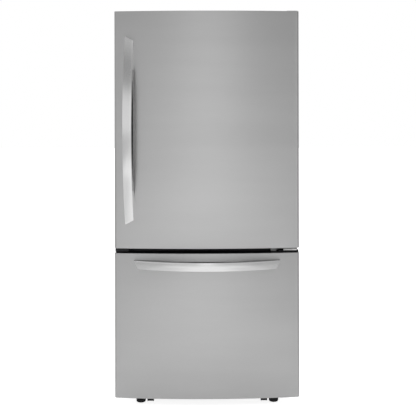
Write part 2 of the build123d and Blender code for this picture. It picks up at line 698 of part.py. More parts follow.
def drawer_insulation():
    """The drawer front's foam, which also fills its raised liner."""
    foam = front_insulation(DRAWER_BOTTOM, DRAWER_TOP) + dyke(LINER)
    return foam - drawer_stud_holes()


def drawer_liner():
    """The drawer front's inner sheet with its raised middle."""
    raised = fillet(dyke(0).edges().group_by(Axis.Y)[-1], LINER)
    return front_liner(DRAWER_BOTTOM, DRAWER_TOP) + raised - dyke(LINER)


def drawer_gasket():
    """The drawer's seal around the freezer compartment."""
    edge = GASKET_MARGIN + GASKET_WIDTH
    return gasket(FREEZER_FLOOR - edge, FREEZER_CEILING + edge)


def slide_rail():
    """A cabinet slide: an outer channel, and under it the rack for the stabiliser's pinion."""
    rail = block((RAIL_X, FREEZER_HALF), SLIDE_Y, SLIDE_Z)
    inside = (RAIL_X - OVER, FREEZER_HALF - SLIDE_WALL)
    rail -= block(inside, grown(SLIDE_Y, OVER), grown(SLIDE_Z, -SLIDE_WALL))
    root = FREEZER_FLOOR + RACK_HEIGHT
    rail += block((GEAR_X[0], FREEZER_HALF), SLIDE_Y, (root - RACK_BODY, root))
    rail += block((FREEZER_HALF - SLIDE_WALL, FREEZER_HALF), SLIDE_Y, (root, SLIDE_Z[0]))
    return rail + rack_teeth(root)


def tooth_half(height):
    """Half a rack tooth's thickness at a height over the pitch line."""
    return GEAR_PITCH / 4 - GEAR_THINNING / 2 - height * tan(radians(PRESSURE_ANGLE))


def rack_teeth(root):
    """The rack's teeth, spaced so that a gap lies under the pinion at rest."""
    tip = PITCH_LINE + GEAR_MODULE
    sunk = root - TOOTH_SINK
    foot, top = tooth_half(root - PITCH_LINE), tooth_half(GEAR_MODULE)
    outline = [(-foot, sunk), (foot, sunk), (foot, root), (top, tip), (-top, tip), (-foot, root)]
    shape = extrude(Plane.YZ * make_face(Polyline(*outline, close=True)), GEAR_WIDTH, dir=(1, 0, 0))
    ahead = int((GEAR_Y - SLIDE_Y[0]) / GEAR_PITCH) - 1
    behind = int((SLIDE_Y[1] - GEAR_Y) / GEAR_PITCH) - 1
    middle = GEAR_Y + GEAR_PITCH / 2
    return [Pos(GEAR_X[0], middle + i * GEAR_PITCH, 0) * shape for i in range(-ahead, behind)]


def slide_member():
    """The middle member of a slide: a channel inside the cabinet slide's channel."""
    z = grown(SLIDE_Z, -SLIDE_WALL - SLIDE_GAP)
    member = block(MEMBER_X, SLIDE_Y, z)
    inside = (MEMBER_X[0] - OVER, MEMBER_X[1] - SLIDE_WALL)
    hollow = block(inside, grown(SLIDE_Y, OVER), grown(z, -SLIDE_WALL))
    return member - hollow


def frame_side():
    """One side of the drawer's frame: the arm, its runner, and the bracket on the drawer's liner."""
    runner_z = grown(SLIDE_Z, -2 * (SLIDE_WALL + SLIDE_GAP))
    arm = block((ARM_X, ARM_X + ARM), (DOOR_BACK, SLIDE_Y[1]), SLIDE_Z)
    arm += block((ARM_X + ARM, MEMBER_X[1] - SLIDE_WALL - SLIDE_GAP), SLIDE_Y, runner_z)
    arm -= block((ARM_X + ARM, FREEZER_HALF), grown(SLIDE_Y, OVER), grown(runner_z, -SLIDE_WALL))
    arm += block(
        (ARM_X + ARM - ARM_BRACKET, ARM_X + ARM),
        (DOOR_BACK, DOOR_BACK + ARM),
        (SLIDE_Z[0], SLIDE_Z[0] + ARM_BRACKET_HEIGHT),
    )
    return arm - rod_x((ARM_X - OVER, FREEZER_HALF), GEAR_Y, GEAR_Z, BAR_R + FIT)


def drawer_frame():
    """Both arms, joined by two cross bars that carry the basket."""
    side = frame_side()
    top = BASKET_LOW - SEAT
    rear = GEAR_Y - GEAR_R - GEAR_MODULE - CROSS_BAR - BASKET_PLAY
    frame = side + mirrored(side)
    for y in (BASKET_FRONT + CROSS_BAR, rear):
        frame += block((-ARM_X, ARM_X), (y, y + CROSS_BAR), (top - CROSS_BAR, top))
    return frame


def pinion():
    """A pinion around the Z axis with one tooth on its -Y side."""
    root = GEAR_R - GEAR_ROOT
    tip = GEAR_R + GEAR_MODULE
    sunk = root - TOOTH_SINK
    foot, top = tooth_half(-GEAR_ROOT * FOOT_RELIEF), tooth_half(GEAR_MODULE * TIP_RELIEF)
    outline = [(-foot, -sunk), (foot, -sunk), (foot, -root), (top, -tip), (-top, -tip), (-foot, -root)]
    tooth = make_face(Polyline(*outline, close=True))
    teeth = [Rot(0, 0, 360 / GEAR_TEETH * i) * tooth for i in range(GEAR_TEETH)]
    return extrude(Sketch() + Circle(root) + teeth, GEAR_WIDTH)


def stabiliser_bar():
    """A bar across the drawer's frame with a pinion at each end, so that both sides move alike."""
    bar = rod_x((-ARM_X - ARM, ARM_X + ARM), GEAR_Y, GEAR_Z, BAR_R)
    wheel = Plane(origin=(GEAR_X[0], GEAR_Y, GEAR_Z), x_dir=(0, 1, 0), z_dir=(1, 0, 0)) * pinion()
    return bar + wheel + mirrored(wheel)


def freezer_basket():
    """The deep basket, with rows of slots through its front and back."""
    half = GEAR_X[0] - BASKET_PLAY
    y = (BASKET_FRONT, BASKET_FRONT + BASKET_DEPTH)
    basket = open_box((-half, half), y, (BASKET_LOW, BASKET_TOP), PLASTIC, BIN_CORNER)
    wide, high = DUCT_SLOT
    for x in spread(BASKET_SLOT_COLUMNS, BASKET_SLOT_PITCH[0]):
        for z in spread(BASKET_SLOT_ROWS, BASKET_SLOT_PITCH[1], (BASKET_LOW + BASKET_TOP) / 2):
            basket -= block(grown((x, x), wide / 2), grown(y, OVER), grown((z, z), high / 2))
    return basket


def freezer_tray():
    """The shallow upper tray, hung by its rim on the liner's ledges."""
    half = FREEZER_HALF - SHELF_LEDGE - PLAY
    y = (BASKET_FRONT, COOLER_FRONT - BASKET_PLAY)
    tray = open_box((-half, half), y, (TRAY_LOW, TRAY_TOP), PLASTIC, BIN_CORNER)
    rim = (half - PLASTIC, FREEZER_HALF - PLAY)
    edge = block(rim, (y[0] + BIN_CORNER, y[1] - BIN_CORNER), (TRAY_TOP - TRAY_RIM, TRAY_TOP))
    return tray + edge + mirrored(edge)


# ---------------------------------------------------------------- the cabinet
def fridge_space(out):
    """The fridge compartment, made larger by out."""
    x = grown((-FRIDGE_HALF, FRIDGE_HALF), out)
    return block(x, (FRONT - OVER, REAR + out), grown((FRIDGE_FLOOR, FRIDGE_CEILING), out))


def freezer_space(out):
    """The freezer compartment, with its step over the machine compartment, made larger by out."""
    x = (-FREEZER_HALF - out, FREEZER_HALF + out)
    low = block(x, (FRONT - OVER, STEP_Y + out), grown((FREEZER_FLOOR, FREEZER_CEILING), out))
    return low + block(x, (FRONT - OVER, REAR + out), (STEP_Z - out, FREEZER_CEILING + out))


def duct_passage(out):
    """The shaft through the wall between the compartments, made larger by out."""
    half = DUCT_NECK / 2 + out
    z = (FREEZER_CEILING - LINER, FRIDGE_FLOOR + LINER)
    return block((-half, half), (REAR - DUCT_DEPTH - out, REAR), z)


def ledges(half, y, tops):
    """Ledges on both side walls, with their top faces at the given heights."""
    shapes = []
    for top in tops:
        ledge = block((half - SHELF_LEDGE, half), y, (top - LEDGE_HEIGHT, top))
        shapes += [ledge, mirrored(ledge)]
    return shapes


def front_lip(low, high):
    """The liner's flat lip on the cabinet's front."""
    half = HALF_CABINET - SHELL_FLANGE
    return block((-half, half), (FRONT, FRONT + LINER), (low, high))


def cabinet_shell():
    """The steel wrapper: two sides and a top in one sheet, with its front edge turned in."""
    outer = block((-HALF_CABINET, HALF_CABINET), (FRONT, BACK - SHEET), (CABINET_BOTTOM, CABINET_TOP))
    outer = fillet(outer.edges().filter_by(Axis.Y).group_by(Axis.Z)[-1], CABINET_CORNER)
    inside = (CABINET_BOTTOM - OVER, CABINET_TOP - SHEET)
    inner = block((-INNER_HALF, INNER_HALF), (FRONT + SHEET, BACK), inside)
    inner = fillet(inner.edges().filter_by(Axis.Y).group_by(Axis.Z)[-1], CABINET_CORNER - SHEET)
    half = HALF_CABINET - SHELL_FLANGE
    between = (CABINET_BOTTOM - OVER, CABINET_TOP - SHELL_FLANGE)
    opening = block((-half, half), (FRONT - OVER, FRONT + 2 * SHEET), between)
    return outer - inner - opening


def cabinet_back():
    """The rear panel over the machine compartment."""
    half = HALF_CABINET - CABINET_CORNER / 2
    return block((-half, half), (BACK - SHEET, BACK), (MACHINE_TOP, CABINET_TOP - CABINET_CORNER / 2))


def machine_space(out):
    """The machine compartment under the freezer's step, made larger by out towards the foam."""
    x = grown((-INNER_HALF, INNER_HALF), OVER)
    return block(x, (MACHINE_FRONT - out, BACK + OVER), (CABINET_BOTTOM - OVER, MACHINE_TOP + out))


def centre_rail():
    """The steel channel across the front of the wall between the compartments."""
    half = HALF_CABINET - SHELL_FLANGE
    z = grown((MULLION_MIDDLE, MULLION_MIDDLE), RAIL_HEIGHT / 2)
    rail = block((-half, half), (FRONT, FRONT + RAIL_DEPTH), z)
    inside = (FRONT + SHEET, FRONT + RAIL_DEPTH + OVER)
    return rail - block(grown((-half, half), OVER), inside, grown(z, -SHEET))


def cabinet_insulation():
    """The foam in the walls."""
    x = (-INNER_HALF, INNER_HALF)
    foam = block(x, (FRONT + LINER, BACK - SHEET), (PLATE_TOP, CABINET_TOP - SHEET))
    foam = fillet(foam.edges().filter_by(Axis.Y).group_by(Axis.Z)[-1], CABINET_CORNER - SHEET)
    foam -= [fridge_space(LINER), freezer_space(LINER), machine_space(SHEET), duct_passage(SLIP)]
    return foam - centre_rail()


def behind_front(shape):
    """What of a shape lies behind the cabinet's front plane."""
    half = HALF_CABINET
    return shape & block((-half, half), (FRONT, BACK), (CABINET_BOTTOM, CABINET_TOP))


def fridge_liner():
    """The fridge compartment's lining, with ledges for the shelves and the crispers' cover."""
    lip_low = MULLION_MIDDLE + RAIL_HEIGHT / 2
    liner = behind_front(fridge_space(LINER))
    liner = liner + front_lip(lip_low, CABINET_TOP - SHELL_FLANGE) - fridge_space(0)
    tops = [CRISPER_COVER - SEAT] + [top - SHELF_HEIGHT - SEAT for top in SHELF_TOPS]
    liner += ledges(FRIDGE_HALF, (SHELF_FRONT, SHELF_REAR), tops)
    return liner - duct_passage(SLIP)


def freezer_liner():
    """The freezer compartment's lining, with ledges for the upper tray."""
    lip_high = MULLION_MIDDLE - RAIL_HEIGHT / 2
    liner = behind_front(freezer_space(LINER))
    liner = liner + front_lip(CABINET_BOTTOM + SHELL_FLANGE, lip_high) - freezer_space(0)
    y = (FRONT + SLIDE_SETBACK, COOLER_FRONT - BASKET_PLAY)
    liner += ledges(FREEZER_HALF, y, [TRAY_TOP - TRAY_RIM - SEAT])
    return liner - duct_passage(SLIP)


def roller_ears(x, y, z, width):
    """Two ears under the base plate with an axle between them, as a list."""
    ears = []
    inner = width / 2 + EAR_GAP
    for side in (-1, 1):
        span = sorted((x + side * inner, x + side * (inner + EAR)))
        ears.append(block(span, grown((y, y), 2 * AXLE_R), (z, CABINET_BOTTOM)))
        ears.append(rod_x(span, y, z, 2 * AXLE_R))
    axle = rod_x(grown((x, x), inner + EAR), y, z, AXLE_R)
    return ears + [axle]


def leg_boss(x):
    """The threaded boss under the base plate that a levelling foot screws into."""
    y = FRONT + FOOT_SETBACK
    z = (CABINET_BOTTOM - LEG_BOSS, CABINET_BOTTOM)
    boss = rod_z(x, y + LEG_BOSS_R / 2, z, LEG_BOSS_R)
    plate_z = (z[1] - HINGE_PLATE, z[1])
    plate = block(grown((x, x), 2 * LEG_BOSS_R), (FRONT, FRONT + 5 * LEG_BOSS_R), plate_z)
    return boss + rod_z(x, y, z, LEG_BOSS_R) + plate - rod_z(x, y, grown(z, OVER), STEM_R + FIT)


def base_frame():
    """The base plate, its front member, the machine compartment's walls, leg bosses and roller ears."""
    x = (-INNER_HALF, INNER_HALF)
    lip = HALF_CABINET - SHELL_FLANGE
    plate_z = (CABINET_BOTTOM, PLATE_TOP)
    frame = block(x, (FRONT + SHEET, BACK - SHEET - COVER_SET - SHEET), plate_z)
    frame += block((-lip, lip), (FRONT, FRONT + LINER), (CABINET_BOTTOM, CABINET_BOTTOM + SHELL_FLANGE))
    frame += block(x, (MACHINE_FRONT - SHEET, MACHINE_FRONT), (CABINET_BOTTOM, MACHINE_TOP + SHEET))
    frame += block(x, (MACHINE_FRONT - SHEET, BACK - SHEET), (MACHINE_TOP, MACHINE_TOP + SHEET))
    for side in (-1, 1):
        frame += leg_boss(side * FOOT_X)
        frame += roller_ears(side * FRONT_ROLLER_X, *front_axle(), FRONT_ROLLER_WIDTH)
        frame += roller_ears(side * REAR_ROLLER_X, *rear_axle(), REAR_ROLLER_WIDTH)
    return frame


def front_axle():
    """The y and z of the front rollers' axles."""
    return FRONT + FRONT_ROLLER_SETBACK, FRONT_ROLLER_R + FRONT_ROLLER_LIFT


def rear_axle():
    """The y and z of the rear rollers' axles."""
    return BACK - REAR_ROLLER_SETBACK, REAR_ROLLER_R


def roller(x, place, radius, width):
    """A hard wheel with rounded rims, running on its axle."""
    y, z = place
    wheel = rod_x(grown((x, x), width / 2), y, z, radius)
    wheel = fillet(wheel.edges(), ROLLER_ROUND)
    return wheel - rod_x(grown((x, x), width), y, z, AXLE_R + FIT)


def front_roller(x):
    """A front roller, a little above the floor while the feet are down."""
    return roller(x, front_axle(), FRONT_ROLLER_R, FRONT_ROLLER_WIDTH)


def rear_roller(x):
    """A rear roller on the floor."""
    return roller(x, rear_axle(), REAR_ROLLER_R, REAR_ROLLER_WIDTH)


def foot(x):
    """A levelling foot: a round pad with a stem that screws into the leg boss."""
    y = FRONT + FOOT_SETBACK
    pad = rod_z(x, y, (0, FOOT_HEIGHT), FOOT_R)
    pad = fillet(pad.edges().group_by(Axis.Z)[0], FOOT_ROUND)
    return pad + rod_z(x, y, (FOOT_HEIGHT, CABINET_BOTTOM - SEAT), STEM_R)


def hinge_arm(z, back):
    """A flat hinge arm from the cabinet to the hinge axis, with a round end."""
    plate = block(grown((HINGE_X, HINGE_X), HINGE_EDGE), (HINGE_Y, back), z)
    return plate + rod_z(HINGE_X, HINGE_Y, z, HINGE_EDGE)


def top_hinge():
    """The upper hinge: a foot on the cabinet's top, a riser, an arm over the door and the pin."""
    arm_z = (DOOR_TOP + HINGE_GAP / 2, DOOR_TOP + HINGE_GAP / 2 + HINGE_PLATE)
    riser_y = (FRONT + HINGE_PLATE, FRONT + 2 * HINGE_PLATE)
    x = grown((HINGE_X, HINGE_X), HINGE_EDGE)
    hinge = hinge_arm(arm_z, riser_y[1]) + block(x, riser_y, (CABINET_TOP, arm_z[1]))
    foot_z = (CABINET_TOP, CABINET_TOP + HINGE_PLATE)
    hinge += block((x[0] - 2 * HINGE_EDGE, x[1]), (riser_y[0], FRONT + HINGE_LEAF), foot_z)
    return hinge + rod_z(HINGE_X, HINGE_Y, (DOOR_TOP - PIN_DEPTH, arm_z[0]), HINGE_PIN_R)


def top_hinge_cover():
    """The moulded cover over the upper hinge: a box on the cabinet with a thin nose over the door."""
    wall = HINGE_COVER_WALL
    low = DOOR_TOP + HINGE_GAP / 2
    x = (HINGE_X - 3 * HINGE_EDGE - 2 * PLAY, HALF_CABINET - PLAY)
    nose = (HINGE_Y - HINGE_EDGE - PLAY, FRONT + PLAY)
    box = (nose[1], FRONT + HINGE_COVER_LENGTH)
    body = block(x, box, (CABINET_TOP, HINGE_COVER_TOP))
    body = chamfer(body.edges().group_by(Axis.Z)[-1].filter_by(Axis.X), HINGE_COVER_TOP - HINGE_COVER_LOW)
    nose_block = block(x, (nose[0], box[0] + wall), (low, HINGE_COVER_LOW))
    ceiling = HINGE_COVER_LOW - wall
    hollow = block(grown(x, -wall), (box[0] + wall / 2, box[1] - wall), (CABINET_TOP - OVER, ceiling))
    throat = block(grown(x, -wall), (nose[0] + wall, box[0] + 2 * wall), (low - OVER, ceiling))
    return body + nose_block - hollow - throat


def middle_hinge():
    """The hinge between door and drawer: a leaf on the cabinet, an arm with the pin, and the door's stop."""
    z = (DRAWER_TOP + HINGE_GAP, ARM_TOP)
    inner = HINGE_X - HINGE_LEAF
    leaf = block((inner, HALF_CABINET - HINGE_GAP), (FRONT - HINGE_PLATE, FRONT), z)
    arm_z = (ARM_TOP - HINGE_ARM, ARM_TOP)
    arm = hinge_arm(arm_z, FRONT) + block((HINGE_X - HINGE_LEAF / 2, HINGE_X), (HINGE_Y, FRONT), arm_z)
    stop = block((inner, inner + DOOR_STOP), (FRONT - DOOR_STOP_DEPTH, FRONT), z)
    washer = rod_z(HINGE_X, HINGE_Y, (ARM_TOP, DOOR_BOTTOM + SHEET + SLIP - SEAT), HINGE_PIN_R + PLAY)
    pin = rod_z(HINGE_X, HINGE_Y, (ARM_TOP, DOOR_BOTTOM + PIN_DEPTH), HINGE_PIN_R)
    return leaf + arm + stop + washer + pin


# ---------------------------------------------------------------- inside the fridge
def shelf_frame(top, height):
    """A shelf's plastic frame with a pocket that the glass lies in."""
    x = (-SHELF_HALF, SHELF_HALF)
    y = (SHELF_FRONT, SHELF_REAR)
    frame = block(x, y, (top - height, top))
    frame -= block(grown(x, -SHELF_BAR), grown(y, -SHELF_BAR), grown((top - height, top), OVER))
    return frame - glass_pane(top, SLIP)


def glass_pane(top, spare=0.0):
    """The glass that lies in a frame's pocket, larger by spare."""
    edge = SHELF_BAR - GLASS_REST - spare
    y = (SHELF_FRONT, SHELF_REAR)
    return block(grown((-SHELF_HALF, SHELF_HALF), -edge), grown(y, -edge), (top - GLASS - spare, top))


def crisper_cover():
    """The frame over the crispers: bars, a partition down to the floor, and grooves for the sliders."""
    cover = shelf_frame(COVER_TOP, COVER_HEIGHT)
    half = CRISPER_GAP / 2 - PLAY
    partition = (CRISPER_LOW, COVER_TOP - GLASS - SLIP)
    cover += block((-half, half), (SHELF_FRONT + SHELF_BAR, SHELF_REAR), partition)
    reach = SLIDER_LENGTH / 2 + SLIDER_TRAVEL + SEAT
    z = grown((SLIDER_Z, SLIDER_Z), SLIDER_HEIGHT / 2 + SEAT)
    for x in (-SLIDER_X, SLIDER_X):
        cover -= block(grown((x, x), reach), (SHELF_FRONT - OVER, SHELF_FRONT + SLIDER_DEPTH + SEAT), z)
    return cover


def humidity_slider(x):
    """The knob that runs in a groove of the crispers' cover."""
    y = (SHELF_FRONT - SLIDER_KNOB, SHELF_FRONT + SLIDER_DEPTH)
    knob = block(grown((x, x), SLIDER_LENGTH / 2), y, grown((SLIDER_Z, SLIDER_Z), SLIDER_HEIGHT / 2))
    return fillet(knob.edges().group_by(Axis.Y)[0], SHEET)


def crisper(side):
    """A crisper drawer with a grip turned out at the top of its face."""
    x = tuple(sorted((side * CRISPER_GAP / 2, side * CRISPER_HALF)))
    z = (CRISPER_LOW, CRISPER_LOW + CRISPER_HEIGHT)
    drawer = open_box(x, (SHELF_FRONT, SHELF_REAR), z, PLASTIC, BIN_CORNER)
    face = SHELF_FRONT - CRISPER_FRONT
    grip_z = (z[1] - CRISPER_GRIP, z[1])
    grip = block(grown(x, -BIN_CORNER), (face, SHELF_FRONT + PLASTIC), grip_z)
    under = (grip_z[0] - OVER, z[1] - PLASTIC)
    hollow = block(grown(x, -BIN_CORNER - PLASTIC), (face + PLASTIC, SHELF_FRONT), under)
    return drawer + grip - hollow


def duct_levels():
    """Heights of the air slots: one above each shelf and one above the crispers' cover."""
    return [top + LOWER_SHELF / 2 for top in (COVER_TOP,) + SHELF_TOPS]


def air_duct():
    """The duct on the rear wall and its neck down into the freezer, with slots and the flap's bores."""
    y = (REAR - DUCT_DEPTH, REAR)
    neck = grown((0, 0), DUCT_NECK / 2)
    body = grown((0, 0), DUCT_WIDTH / 2)
    high = (COVER_TOP + LEDGE_HEIGHT, FRIDGE_CEILING - DUCT_TOP_ROOM)
    low = (FREEZER_CEILING - LINER, high[0] + PLASTIC)
    duct = block(neck, y, low) + block(body, y, high)
    duct -= block(grown(neck, -PLASTIC), grown(y, -PLASTIC), grown(low, OVER))
    duct -= block(grown(body, -PLASTIC), grown(y, -PLASTIC), grown(high, -PLASTIC))
    wall = grown((y[0], y[0] + PLASTIC), OVER)
    for z in duct_levels():
        for x in (-DUCT_NECK / 3, DUCT_NECK / 3):
            duct -= block(grown((x, x), DUCT_SLOT[0] / 2), wall, grown((z, z), DUCT_SLOT[1] / 2))
    return duct - rod_x(grown(neck, OVER), sum(y) / 2, MULLION_MIDDLE, FLAP_PIN_R + FIT)


def damper_flap():
    """The plate that opens and closes the duct's neck, turning on its middle line."""
    middle = REAR - DUCT_DEPTH / 2
    half = DUCT_NECK / 2 - PLASTIC - SEAT
    deep = DUCT_DEPTH / 2 - PLASTIC - SEAT
    level = grown((MULLION_MIDDLE, MULLION_MIDDLE), FLAP / 2)
    plate = block((-half, half), grown((middle, middle), deep), level)
    return plate + rod_x(grown((0, 0), DUCT_NECK / 2), middle, MULLION_MIDDLE, FLAP_PIN_R)


def button_space(out):
    """The button's place in the control panel's face, larger by out."""
    wide, high, deep = BUTTON
    middle = FRIDGE_CEILING - PANEL_HEIGHT / 2
    y = (PANEL_FRONT - PLASTIC, PANEL_FRONT + deep - PLASTIC)
    z = grown((middle, middle), high / 2 + out)
    return block(grown((0, 0), wide / 2 + out), grown(y, 2 * out), z)


def control_button():
    """The button, with rounded front edges."""
    return fillet(button_space(0).edges().group_by(Axis.Y)[0], SHEET)


def control_panel():
    """The housing under the fridge's ceiling that holds the controls and the lamp."""
    x = grown((0, 0), PANEL_WIDTH / 2)
    y = (PANEL_FRONT, PANEL_FRONT + PANEL_DEPTH)
    z = (FRIDGE_CEILING - PANEL_HEIGHT, FRIDGE_CEILING)
    panel = block(x, y, z)
    panel = fillet(panel.edges().group_by(Axis.Z)[0], 2 * PLASTIC)
    hollow = block(grown(x, -PLASTIC), grown(y, -PLASTIC), (z[0] + PLASTIC, z[1] + OVER))
    return panel - hollow - button_space(SEAT)


# ---------------------------------------------------------------- cooling
def evaporator():
    """The fin-and-tube cooler behind the freezer's rear cover."""
    half = EVAPORATOR_WIDTH / 2
    low = STEP_Z + EVAPORATOR_PITCH
    heights = [low + i * EVAPORATOR_PITCH for i in range(EVAPORATOR_PASSES)]
    y = REAR - COOLER_ROOM / 2
    coil = serpentine(half, y, heights, EVAPORATOR_TUBE_R)
    z = (STEP_Z + SEAT, heights[-1] + EVAPORATOR_PITCH / 2)
    fins = []
    for x in spread(FIN_COUNT, 2 * half / FIN_COUNT):
        fins.append(block(grown((x, x), FIN / 2), grown((y, y), EVAPORATOR_PITCH), z))
    return coil + fins


def fan_mount(radius, plate):
    """A fan's round opening in a plate around the Z axis, with a motor on three arms above it."""
    level = FAN_HUB + PLASTIC
    arm = Pos(radius / 2, 0, level) * Box(radius + 2 * FAN_ARM, 2 * FAN_ARM, PLASTIC)
    leg = Pos(radius + FAN_ARM, 0, level / 2) * Box(FAN_ARM, 2 * FAN_ARM, level + PLASTIC)
    arms = [Rot(0, 0, 360 / FAN_ARMS * i) * (arm + leg) for i in range(FAN_ARMS)]
    motor = Pos(0, 0, level + MOTOR / 2) * Cylinder(MOTOR_R, MOTOR)
    shaft = Pos(0, 0, FAN_HUB / 2) * Cylinder(FAN_SHAFT_R, level + PLASTIC)
    return plate - Cylinder(radius + FAN_TIP_GAP / 2, FAN_HUB) + arms + motor + shaft


def facing(origin, direction):
    """A plane whose Z points along the direction, level with the floor."""
    return Plane(origin=origin, x_dir=(0, 0, 1), z_dir=direction)


def evaporator_cover():
    """The freezer's rear cover, with return slots, the fan's opening and the fan's motor behind it."""
    x = grown((-FREEZER_HALF, FREEZER_HALF), -SEAT)
    place = facing((0, COOLER_FRONT, FAN_Z), (0, 1, 0))
    plate = block(x, (COOLER_FRONT, COOLER_FRONT + PLASTIC), (STEP_Z + SEAT, FREEZER_CEILING - SEAT))
    local = place.to_local_coords(plate)
    cover = place * fan_mount(FREEZER_FAN_R, local)
    wide, high = DUCT_SLOT
    wall = grown((COOLER_FRONT, COOLER_FRONT + PLASTIC), OVER)
    for x in spread(RETURN_SLOTS, RETURN_PITCH):
        cover -= block(grown((x, x), wide / 2), wall, (STEP_Z + 2 * high, STEP_Z + 4 * high))
    return cover


def evaporator_fan_blade():
    """The fan that blows from the evaporator into the freezer and the duct."""
    place = facing((0, COOLER_FRONT + FAN_HUB / 2, FAN_Z), (0, 1, 0))
    return place * fan(FREEZER_FAN_R - FAN_TIP_GAP)


# ---------------------------------------------------------------- machine compartment
def condenser_fan_motor():
    """The fan's shroud, standing across the machine compartment, with its motor on three arms."""
    place = facing((MACHINE_FAN_X, MACHINE_Y, MACHINE_FAN_Z), (1, 0, 0))
    x = (MACHINE_FAN_X, MACHINE_FAN_X + PLASTIC)
    plate = block(x, grown((MACHINE_Y, MACHINE_Y), MACHINE_HALF), (PLATE_TOP, MACHINE_TOP - SEAT))
    return place * fan_mount(MACHINE_FAN_R, place.to_local_coords(plate))


def condenser_fan_blade():
    """The fan that draws air over the condenser."""
    place = facing((MACHINE_FAN_X + FAN_HUB / 2, MACHINE_Y, MACHINE_FAN_Z), (1, 0, 0))
    return place * fan(MACHINE_FAN_R - FAN_TIP_GAP)


def condenser_coil():
    """Rows of tube over the drain pan, held by two end plates that stand in the pan."""
    low = PLATE_TOP + PAN_HEIGHT + CONDENSER_PITCH / 2
    heights = [low + i * CONDENSER_PITCH for i in range(CONDENSER_PASSES)]
    half = CONDENSER_LENGTH / 2
    rows = spread(CONDENSER_ROWS, 2 * CONDENSER_PITCH, MACHINE_Y)
    coil = Part()
    for y in rows:
        coil += Pos(CONDENSER_X, 0, 0) * serpentine(half, y, heights, CONDENSER_TUBE_R)
    y = grown((rows[0], rows[-1]), CONDENSER_PITCH / 2)
    z = (PLATE_TOP + PLASTIC + SEAT, heights[-1] + CONDENSER_PITCH / 2)
    for x in spread(2, 2 * half - CONDENSER_PITCH, CONDENSER_X):
        coil += block(grown((x, x), SHEET / 2), y, z)
    return coil


def drain_pan():
    """The pan under the condenser that catches the melt water."""
    half = CONDENSER_LENGTH / 2 + CONDENSER_PITCH
    x = grown((CONDENSER_X, CONDENSER_X), half)
    y = grown((MACHINE_Y, MACHINE_Y), MACHINE_HALF)
    return open_box(x, y, (PLATE_TOP, PLATE_TOP + PAN_HEIGHT), PLASTIC, BIN_CORNER)


def compressor():
    """The sealed compressor: a domed pot on a foot plate, four mounts, a terminal box and pipe stubs."""
    low = PLATE_TOP + MOUNT
    plate = (low, low + HINGE_PLATE)
    x, y = COMPRESSOR_X, MACHINE_Y
    middle = low + COMPRESSOR_HEIGHT / 2
    pot = rod_z(x, y, (low, low + COMPRESSOR_HEIGHT), COMPRESSOR_R)
    pot = fillet(pot.edges(), COMPRESSOR_R / 2)
    wide, deep = COMPRESSOR_FOOT / 2, COMPRESSOR_R
    shape = pot + block(grown((x, x), wide), grown((y, y), deep), plate)
    for i in (-1, 1):
        for j in (-1, 1):
            spot = (x + i * (wide - MOUNT_R), y + j * (deep - MOUNT_R))
            shape += rod_z(*spot, (PLATE_TOP, plate[1]), MOUNT_R)
        pipe_y = y + i * COMPRESSOR_R / 2
        shape += rod_x((x - COMPRESSOR_R - MOUNT, x), pipe_y, middle, CONDENSER_TUBE_R)
    box_x = (x + COMPRESSOR_R / 2, x + COMPRESSOR_R + 2 * MOUNT)
    return shape + block(box_x, grown((y, y), COMPRESSOR_R / 2), grown((middle, middle), 2 * MOUNT))


def gland_place():
    """The x and z of the cord's gland on the machine cover."""
    return -INNER_HALF + 3 * GLAND_R, MACHINE_TOP - 3 * GLAND_R


def machine_cover():
    """The pressed cover over the machine compartment, with rows of louvre slots."""
    half = INNER_HALF - SEAT
    y = (BACK - COVER_SET - SHEET, BACK - COVER_SET)
    cover = block((-half, half), y, (CABINET_BOTTOM, MACHINE_TOP - SEAT))
    rows = spread(LOUVRE_ROWS, LOUVRE_PITCH, (CABINET_BOTTOM + MACHINE_TOP) / 2)
    for x in spread(LOUVRE_COLUMNS, LOUVRE_SPACING):
        for z in rows:
            cover -= block(grown((x, x), LOUVRE[0] / 2), grown(y, OVER), grown((z, z), LOUVRE[1] / 2))
    x, z = gland_place()
    return cover - rod_y(x, grown(y, OVER), z, GLAND_R - PLAY + SLIP)


def cord_gland():
    """The gland that a supply cord would leave through: a flanged bush with an open bore."""
    x, z = gland_place()
    plane = BACK - COVER_SET
    neck = (plane - GLAND_NECK, plane)
    gland = rod_y(x, neck, z, GLAND_R - PLAY) + rod_y(x, (plane, BACK - SEAT), z, GLAND_R)
    return gland - rod_y(x, (neck[0] - OVER, BACK), z, GLAND_BORE_R)


# ---------------------------------------------------------------- the nodes
def pair(shape):
    """A shape and its mirror image in one node."""
    return Compound([shape, mirrored(shape)])


